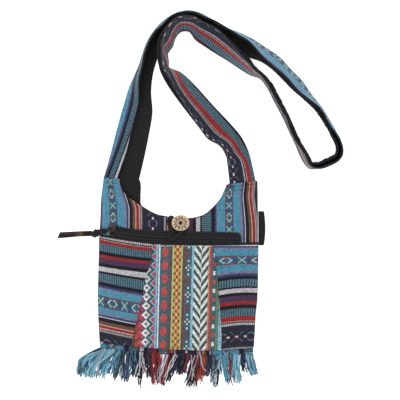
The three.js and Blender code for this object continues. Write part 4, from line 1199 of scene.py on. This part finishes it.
class BAG_OT_zip(Operator):
    """Zip tape, teeth, slider and its flat metal pull"""

    bl_idname = "bag.zip"
    bl_label = "Zip"

    def execute(self, context):
        def tape(u, v):
            x = lerp(TAPE_LEFT, TAPE_RIGHT, u)
            y = lerp(pocket_top(x) + BINDING_WIDTH + 2 * GAP, tape_top(x), v)
            above = max(0.0, y - (tape_top(x) - TAPE_CORNER))
            x -= u * (TAPE_CORNER - math.sqrt(max(0.0, TAPE_CORNER**2 - above**2)))
            ridge = 0.28 * math.sin(2 * math.pi * (tape_top(x) - y) / TAPE_LINES)
            return (x, y, front_top(x, y) + GAP + TAPE_WALL / 2 + ridge), (x, tape_top(x) - y)

        lay("zip_band", "tape", "zip_cloth", "zip_tape", TAPE_WALL * MM, (120, 24, tape))

        bm = new_bmesh()
        x = SLIDER_AT[0] + SLIDER_LENGTH / 2 + 1.2
        pitch = sizes().tooth_pitch / MM
        while x < TAPE_RIGHT - 3:
            y = zip_middle(x)
            z = front_top(x, y) + TAPE_WALL + 2.5 * GAP + 0.75
            for at, way in ((x, 1), (x + pitch / 2, -1)):
                tip = (at, y + way * TOOTH_REACH, z - TOOTH_DROP)
                capsule(bm, (at, y - way * TOOTH_LAP, z), tip, TOOTH_RADIUS)
            x += pitch
        weld(bm)
        make("zip_teeth", bm, "coil", "zip_coil")

        bm = bmesh.new()
        half = SLIDER_LENGTH / 2
        shield = [
            (-half - 0.6, -1.6), (-half + 0.4, -3.2), (0, -3.9), (half - 0.6, -4.75), (half, -4.4),
            (half - 1.4, -0.6),
        ]
        shield += [(x, -y) for x, y in reversed(shield)]
        plate(bm, shield, 0.0, 0.8, 0.18)
        plate(bm, [(x * 0.96, y * 0.94) for x, y in shield], 1.4, 2.2, 0.22)
        plate(bm, [(-half + 1, -1.3), (1.5, -1.3), (1.5, 1.3), (-half + 1, 1.3)], 0.6, 1.6, 0.1)
        arch = [(-4, 2.0), (-4, 3.6), (-2.6, 4.7), (0, 5.1), (2.6, 4.7), (4, 3.6), (4, 2.0)]
        arch += [(3.1, 2.0), (3.1, 3.3), (2.1, 3.9), (0, 4.2), (-2.1, 3.9), (-3.1, 3.3), (-3.1, 2.0)]
        first = len(bm.verts)
        plate(bm, arch, -1.5, 1.5, 0.2)
        bm.verts.ensure_lookup_table()
        upright = Matrix.Rotation(math.pi / 2, 4, "X")
        bmesh.ops.transform(bm, matrix=upright, verts=bm.verts[first:])
        put(bm, seat(SLIDER_AT, SLIDER_LENGTH, TAPE_WALL + 2 * GAP))
        make("zip_slider_body", bm, "brass", "zip_slider", sharp=30)

        bm = bmesh.new()
        eye_x, eye_y = PULLER_EYE_RADII
        rings = []
        for z in (0.0, PULLER_WALL):
            for inner in (False, True):
                ring = bmesh.ops.create_circle(bm, segments=40, radius=1.0)["verts"]
                for vert in ring:
                    turn = math.atan2(vert.co.y, vert.co.x)
                    square = (abs(math.cos(turn)) ** 5 + abs(math.sin(turn)) ** 5) ** -0.2
                    if inner:
                        vert.co = (PULLER_EYE + eye_x * math.cos(turn), eye_y * math.sin(turn), z)
                    else:
                        x = PULLER_LENGTH / 2 * square * math.cos(turn)
                        vert.co = (x, (3.5 - 0.1 * (x + 4.5)) * square * math.sin(turn), z)
                rings.append(list({edge for vert in ring for edge in vert.link_edges}))
        for a, b in ((0, 1), (2, 3), (0, 2), (1, 3)):
            bmesh.ops.bridge_loops(bm, edges=rings[a] + rings[b])
        bmesh.ops.recalc_face_normals(bm, faces=bm.faces)
        soften(bm, [edge for ring in rings for edge in ring], 0.25)
        put(bm, seat(PULLER_AT, PULLER_LENGTH, GAP))
        make("zip_pull_plate", bm, "brass", "zip_puller", sharp=30)
        return {"FINISHED"}


def folded(route, reach, slant=0.0):
    """Places of a strip folded in two along its length: route(t) gives a point on its middle, its width and
    the direction of its fold; reach is the height between its two layers, slant that of its cut end."""
    def place(u, v):
        x, y, z, width, turn = route(v)
        if u < FLAT_SHARE:
            side, up = lerp(-0.5, 0.5, u / FLAT_SHARE) * width, 0.0
        elif u > 1 - FLAT_SHARE:
            side, up = lerp(0.5, -0.46, (u - 1 + FLAT_SHARE) / FLAT_SHARE) * width, reach
        else:
            angle = math.pi * ((u - FLAT_SHARE) / (1 - 2 * FLAT_SHARE) - 0.5)
            side, up = 0.5 * width + reach / 2 * math.cos(angle), reach / 2 * (1 + math.sin(angle))
        up += 0.15 * ripple(x, y, 5, u * 3)
        x += slant * smoothstep(0.9, 1.0, v) * (side / width + 0.5)
        return (x + side * math.cos(turn), y + side * math.sin(turn), z + up), (v * 42, u * 12)

    return place


class BAG_OT_pull(Operator):
    """Knot and folded cloth thong on the zip's pull"""

    bl_idname = "bag.pull"
    bl_label = "Zip thong"

    def execute(self, context):
        height = KNOT_HEIGHT / 2 + GAP
        x, y = KNOT_AT

        def wound(t):
            turn = 2 * math.pi * KNOT_TURNS * t + 0.6
            swell = 1 - 0.35 * (2 * t - 1) ** 2
            along = KNOT_HALF * (2 * t - 1) + 0.8 * math.cos(turn)
            side, up = KNOT_SIDE * swell * math.cos(turn), KNOT_RISE * swell * math.sin(turn)
            return x + along, y - 0.3 + side, height + up

        bm = new_bmesh()
        rolled(bm, wound, lambda t: KNOT_CORD * (1 + 0.1 * math.sin(40 * t)), 12, 90)
        capsule(bm, (x - 4.4, y - 0.6, height - 1.2), (x + 3.6, y + 0.4, height - 0.3), 3.0, 14, 12)
        eye, eye_y = PULLER_AT[0] + PULLER_EYE, PULLER_AT[1]
        strand = route_curve([
            (x, y, height + 0.6), (x + 4.6, y + 0.9, height + 1.9),
            (eye, eye_y, front_top(eye, eye_y) + 3.0),
            (eye + 3.6, eye_y + 0.5, front_top(eye + 3.6, eye_y) + 2.6),
        ])
        rolled(bm, strand.at, lambda t: 3.7 - 1.0 * t, 12, 24, 0.45)
        weld(bm)
        make("pull_knot_cloth", bm, "lining", "pull_knot")

        def route(t):
            x, y, z, width = THONG.at(t)
            return x, y, z - 0.75, width, math.pi / 2

        grid = (24, 60, folded(route, THONG_FOLD, THONG_SLANT))
        thong = lay("pull_thong_cloth", "thong", "thong_cloth", "pull_thong", THONG_WALL * MM, grid)
        path = [[part * MM for part in THONG.at(i / 24)[:3]] for i in range(25)]
        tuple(path[0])
        return {"FINISHED"}


class BAG_OT_button(Operator):
    """Coconut button with its thread, and the black loop round it"""

    bl_idname = "bag.button"
    bl_label = "Button and loop"

    def execute(self, context):
        x, y = BUTTON_AT
        base = front_top(x, y) + BUTTON_LIFT
        profile = [
            (0.0, 0.0), (0.5, 0.0), (0.86, 0.05), (0.96, 0.55), (1, 1.2), (0.985, 1.9), (0.93, 2.5),
            (0.84, 2.85), (0.76, 2.9), (0.66, 2.85), (0.58, 2.75), (0.53, 2.35), (0.49, 2.6), (0.4, 2.45),
            (0.28, 2.2), (0.14, 2.1), (0.0, 2.08),
        ]
        bm = bmesh.new()
        line = [bm.verts.new((BUTTON_RADIUS * share, 0, z)) for share, z in profile]
        edges = [bm.edges.new(pair) for pair in zip(line, line[1:])]
        bmesh.ops.spin(
            bm, geom=line + edges, cent=(0, 0, 0), axis=(0, 0, 1), dvec=(0, 0, 0), angle=2 * math.pi,
            steps=96, use_merge=True, use_duplicate=False,
        )
        weld(bm, 1e-4)
        for vert in bm.verts:
            out = math.hypot(vert.co.x, vert.co.y)
            turn = math.atan2(vert.co.y, vert.co.x)
            if vert.co.z > 2.5 and 5.6 < out < 8.0:
                vert.co.z -= 0.35 * max(0.0, math.sin(turn * 16))
            vert.co.z += 0.12 * ripple(vert.co.x, vert.co.y, 4, 8.0)
        put(bm, Matrix.Translation((x, y, base)) @ Matrix.Scale(BUTTON_SQUASH, 4, (0, 1, 0)))
        button = make("coconut_button", bm, "coconut", "button", sharp=60)

        bm = bmesh.new()
        for hole_y in (-1.2, 1.2):
            bmesh.ops.create_cone(
                bm, cap_ends=True, segments=20, radius1=1.0, radius2=1.0, depth=8,
                matrix=Matrix.Translation((0, hole_y, 2)),
            )
        put(bm, Matrix.Translation((x, y, base)))
        drill = to_object("drill", bm)
        holes = button.modifiers.new("holes", "BOOLEAN")
        holes.operation = "DIFFERENCE"
        holes.object = drill
        apply_modifiers(button)
        bpy.data.objects.remove(drill)
        button.data.set_sharp_from_angle(angle=math.radians(40))

        bm = new_bmesh()
        for side in (-0.35, 0.35):
            capsule(bm, (x + side, y - 1.8, base + 1.4), (x + side, y + 1.8, base + 1.4), 0.5)
        stem = front_top(x, y) + 0.2
        rolled(bm, lambda t: (x, y + 0.01 * t, lerp(stem, base + 0.1, t)), lambda t: 2.2, 12, 8)
        weld(bm)
        make("button_thread", bm, "lining")

        route = [
            (-31, -31, "mouth"), (-31, -25, "mouth"), (-31.8, -20.4, "bend"), (-33.4, -21.2, "cloth"),
            (-34.2, -25, "cloth"), (-32.6, -29.8, "cloth"), (-29.8, -34, "zip"), (-32, -38, "zip"),
            (-34.6, -41.6, "zip"), (-31.6, -43.6, "zip"), (-26.5, -40.6, "zip"), (-20.5, -37, "zip"),
            (-16.5, -32, "cloth"), (-15.6, -26.5, "cloth"), (-17.5, -22, "cloth"), (-19, -20.8, "bend"),
            (-20, -25, "mouth"), (-20.5, -32, "mouth"),
        ]
        height = {
            "mouth": lambda x, y: 4.0,
            "bend": lambda x, y: (5.1 + front_top(x, y)) / 2,
            "cloth": lambda x, y: front_top(x, y) + 1.1,
            "zip": lambda x, y: front_top(x, y) + 4.3,
        }
        loop = route_curve([(px, py, height[lie](px, py)) for px, py, lie in route])

        def half_width(t):
            return LOOP_WIDTH / 2 * (1 + 0.35 * smoothstep(0.5, 0.4, t))

        bm = new_bmesh()
        rolled(bm, loop.at, half_width, 12, 120, LOOP_WALL / LOOP_WIDTH)
        weld(bm)
        make("button_loop_cord", bm, "lining", "button_loop")
        return {"FINISHED"}


class BAG_OT_label(Operator):
    """Bare folded tape in the right side seam"""

    bl_idname = "bag.label"
    bl_label = "Side label"

    def execute(self, context):
        def route(t):
            x, y = LABEL_AT
            width = LABEL_WIDTH - LABEL_BOW + LABEL_BOW * (1 - (2 * t - 1) ** 2)
            return x + width / 2, y - t * LABEL_LENGTH, LABEL_Z + 0.2, width, 0.0

        grid = (24, 40, folded(route, LABEL_FOLD))
        lay("side_label_tape", "label", "label_tape", "side_label", LABEL_WALL * MM, grid)
        return {"FINISHED"}


def strap_section(t, s, offset):
    """A point of the strap: t along it, s across it from the flap's edge round the fold to the back."""
    x, y, _, facing, flap, flap_tilt, back, back_tilt, lift, edge, fold = STRAP_CURVE.at(t)
    middle = FOLD_RADIUS + STRAP_WALL + GAP / 2
    flap_out = math.radians(flap_tilt + 90)
    back_out = math.radians(back_tilt + 270)
    bend = FOLD_RADIUS * (back_out - flap_out)
    travel = t * STRAP_FLAT[1] / MM
    if s < FLAP_END:
        angle, run = flap_out, flap * (1 - s / FLAP_END)
        heading = flap_out - math.pi / 2
        across = flap - run
        free = run / flap
    elif s > BACK_START:
        hem = LINING_HEM if offset < 0 else 0.0
        angle, run = back_out, (back + hem) * (s - BACK_START) / (1 - BACK_START)
        heading = back_out - math.pi * 1.5
        across = flap + bend + run
        free = run / back
    else:
        share = (s - FLAP_END) / (BACK_START - FLAP_END)
        angle, run, heading = lerp(flap_out, back_out, share), 0.0, 0.0
        across = flap + bend * share
        free = 0.0
    sway = sizes().ruffle / MM * free**1.5
    if s < 0.5:
        sway *= math.sin(travel / 7.5 + 2.2 * ripple(travel, s, 30, 4.0))
    else:
        sway *= 0.3 + 1.5 * smoothstep(70, 78, back_tilt) * ripple(travel, 0, 4.5, 9.0)
    out = FOLD_RADIUS + offset + sway
    away = middle + out * math.cos(angle) + run * math.cos(heading)
    z = lift + middle + out * math.sin(angle) + run * math.sin(heading)
    turn = math.radians(facing)
    point = (x + away * math.cos(turn), y + away * math.sin(turn), max(z, STRAP_LOWEST))
    if s in (0.0, 1.0):
        indigo = s == 0.0 and INDIGO_FROM < t < INDIGO_TO
        return point, (travel, INDIGO_HEM if indigo else BLACK_HEM)
    half = flap + bend / 2
    share = min(across / half, 1.0)
    near = smoothstep(*NEAR_COMES, t) * smoothstep(*NEAR_GOES, t)
    share += near * (NEAR_BUNCH.at(share)[0] - share)
    weave = lerp(edge, fold, share) + max(across - half, 0.0)
    weave += smoothstep(*LEFT_GOES, t) * (LEFT_BUNCH.at(weave)[0] - weave)
    return point, (travel, weave)


def strap_layer(offset):
    """Grid of a layer of the strap, at an offset from the fold's radius, with a narrow cell at each hem."""
    def place(u, v):
        cell = round(u * STRAP_CELLS)
        if cell == 0:
            return strap_section(v, 0.0, offset)
        if cell == STRAP_CELLS:
            return strap_section(v, 1.0, offset)
        return strap_section(v, lerp(STRAP_HEM, 1 - STRAP_HEM, (cell - 1) / (STRAP_CELLS - 2)), offset)

    return STRAP_CELLS, 460, place


class BAG_OT_strap(Operator):
    """Long cloth strap, folded lengthwise, with its black lining"""

    bl_idname = "bag.strap"
    bl_label = "Strap"

    def execute(self, context):
        outside, inside = strap_layer(GAP / 2 + STRAP_WALL / 2), strap_layer(-GAP / 2 - LINING / 2)
        cloth = lay("strap_cloth", "striped", "striped_cloth", "strap", sizes().strap_wall, outside)
        lining = lay(
            "strap_lining_cloth", "lining", "lining_cloth", "strap_lining", sizes().lining_wall, inside
        )
        return {"FINISHED"}


class BAG_OT_fringe(Operator):
    """Woven head along the bottom seam and the loose yarns that hang from it"""

    bl_idname = "bag.fringe"
    bl_label = "Fringe"

    def execute(self, context):
        def head(u, v):
            x = lerp(FRINGE_LEFT, FRINGE_RIGHT, u)
            ragged = 1.2 * ripple(x, 0, 4, 6.0)
            y = lerp(bottom_edge(x) - FRINGE_HEAD - ragged * (1 - v), bottom_edge(x) - GAP, v)
            return (x, y, FRINGE_Z + 0.25 * ripple(x, y, 5, 7.0)), (y, 17 - (x + 112.5))

        lay("fringe_head", "striped", "striped_cloth", "fringe", FRINGE_WALL * MM, (110, 8, head))

        draw = random.Random(41)
        bm = new_bmesh()
        bm.verts.layers.float_color.new("yarn")
        thick = sizes().yarn / MM
        for root, spread, tip_x, tip_y, tip_spread, count, names in LOCKS:
            shades = names.split()
            white = shades[0] == "white"
            tufts = [draw.uniform(*EITHER_WAY) for _ in range(1 + count // 9)]
            for i in range(count):
                start = root + spread * draw.uniform(*EITHER_WAY)
                tuft = draw.uniform(*EITHER_WAY) if white else tufts[i % len(tufts)]
                end = tip_x + tip_spread * tuft + draw.uniform(*TIP_SCATTER)
                top = bottom_edge(start) - draw.uniform(*ROOT_DEPTH)
                reach = lerp(top, tip_y, draw.uniform(*REACH_SHARE))
                low, high = draw.uniform(*ROOT_HEIGHT), draw.uniform(*TIP_HEIGHT)
                sway, phase, pace = [draw.uniform(*span) for span in (SWAY, SWAY_PHASE, SWAY_PACE)]
                bow = 1 + max(0.0, root - tip_x - 8) / 9
                rise = 1.5 if white else 0.0
                shade = draw.uniform(*YARN_SHADE)
                colour = [min(part * shade, 1.0) for part in tint(shades[i % len(shades)])[:3]] + [1.0]

                def route(t):
                    aside = sway * math.sin(phase + pace * t) * min(1.0, 2 * t)
                    return (
                        lerp(end, start, (1 - t) ** bow) + aside, lerp(top, reach, t),
                        lerp(low, high, t) + rise + 0.3 * math.sin(phase + 7 * t),
                    )

                width = thick * draw.uniform(*YARN_WIDTH)
                rolled(bm, route, lambda t: width * (1 - 0.3 * t), 5, 10, colour=colour)
        rolled(bm, WHITE_LOOP.at, lambda t: 0.75, 6, 30, colour=tint("white"))
        weld(bm)
        make("fringe_yarns", bm, "yarn")
        return {"FINISHED"}


def sew(bm, route, length, height):
    """Adds a row of stitches along route(t), a place on the cloth, at height(x, y)."""
    stitch, gap = sizes().stitch / MM, sizes().stitch_gap / MM
    count = int(length / (stitch + gap))
    for i in range(count):
        ends = []
        for t in (i / count, (i + stitch / (stitch + gap)) / count):
            x, y = route(t)
            ends.append((x, y, height(x, y) + STITCH_LIFT))
        capsule(bm, *ends, STITCH_RADIUS, 5, 5)


class BAG_OT_stitching(Operator):
    """Topstitching along the pocket's seams and the strap's joins"""

    bl_idname = "bag.stitching"
    bl_label = "Stitching"

    def execute(self, context):
        bm = new_bmesh()
        for seam, shift in ((patch_left, SEAM_STITCH_IN), (patch_right, -SEAM_STITCH_IN)):
            def seam_line(t):
                x = seam(POCKET_MIDDLE_Y)
                y = lerp(pocket_top(x) - 1, bottom_edge(x) + 1, t)
                return seam(y) + shift, y

            sew(bm, seam_line, SEAM_STITCH_RUN, lambda x, y: pocket_height(x, y) + CLOTH / 2)
        for (x0, y0), (x1, y1) in WING_STITCHES:
            sew(bm, lambda t: (lerp(x0, x1, t), lerp(y0, y1, t)), x1 - x0, front_top)
        weld(bm)
        make("topstitching", bm, "thread")
        return {"FINISHED"}


class BAG_OT_stage(Operator):
    """Pale table, soft light and a camera straight above the bag"""

    bl_idname = "bag.stage"
    bl_label = "Stage"

    def execute(self, context):
        size = sizes()
        bm = bmesh.new()
        bmesh.ops.create_grid(bm, x_segments=2, y_segments=2, size=TABLE_HALF)
        bmesh.ops.translate(bm, verts=bm.verts, vec=(0, 0, -TABLE_DROP))
        table = to_object("table", bm)
        table.data.materials.append(finish("table"))

        world = bpy.data.worlds.new("soft_room")
        world.use_nodes = True
        light = world.node_tree.nodes["Background"].inputs
        light["Color"].default_value = (1, 1, 1, 1)
        light["Strength"].default_value = size.sky
        context.scene.world = world
        context.scene.view_settings.view_transform = "Standard"

        softbox = bpy.data.lights.new("softbox", "AREA")
        softbox.energy = size.key_power
        softbox.size = LAMP_SIZE
        lamp = bpy.data.objects.new("softbox", softbox)
        lamp.location = LAMP_AT
        lamp.rotation_euler = (-lamp.location).to_track_quat("-Z", "Y").to_euler()
        context.collection.objects.link(lamp)

        view = bpy.data.cameras.new("view_from_above")
        view.lens = view.sensor_width * size.camera_height / size.field
        view.clip_end = 20
        camera = bpy.data.objects.new("view_from_above", view)
        camera.location = (0, 0, size.camera_height)
        context.collection.objects.link(camera)
        context.scene.camera = camera
        return {"FINISHED"}


OPERATORS = [
    BAG_OT_stage, BAG_OT_pull, BAG_OT_strap, BAG_OT_body, BAG_OT_pocket, BAG_OT_zip, BAG_OT_button,
    BAG_OT_label, BAG_OT_fringe, BAG_OT_stitching,
]


class BAG_PT_sidebar(Panel):
    """Sizes, colours and the steps that make the bag"""

    bl_idname = "BAG_PT_sidebar"
    bl_label = "Crossbody Bag"
    bl_space_type = "VIEW_3D"
    bl_region_type = "UI"
    bl_category = "Bag"

    def draw(self, context):
        for operator in OPERATORS:
            self.layout.operator(operator.bl_idname)
        for group in (context.scene.bag_sizes, context.scene.bag_colours):
            box = self.layout.box()
            for name in group.__annotations__:
                box.prop(group, name)


CLASSES = [BagSizes, BagColours, *OPERATORS, BAG_PT_sidebar]


def register():
    for cls in CLASSES:
        bpy.utils.register_class(cls)
    bpy.types.Scene.bag_sizes = PointerProperty(type=BagSizes)
    bpy.types.Scene.bag_colours = PointerProperty(type=BagColours)


def unregister():
    del bpy.types.Scene.bag_colours
    del bpy.types.Scene.bag_sizes
    for cls in reversed(CLASSES):
        bpy.utils.unregister_class(cls)


def main():
    register()
    for operator in OPERATORS:
        group, name = operator.bl_idname.split(".")
        getattr(getattr(bpy.ops, group), name)()
    bpy.context.view_layer.update()


if __name__ == "__main__":
    main()
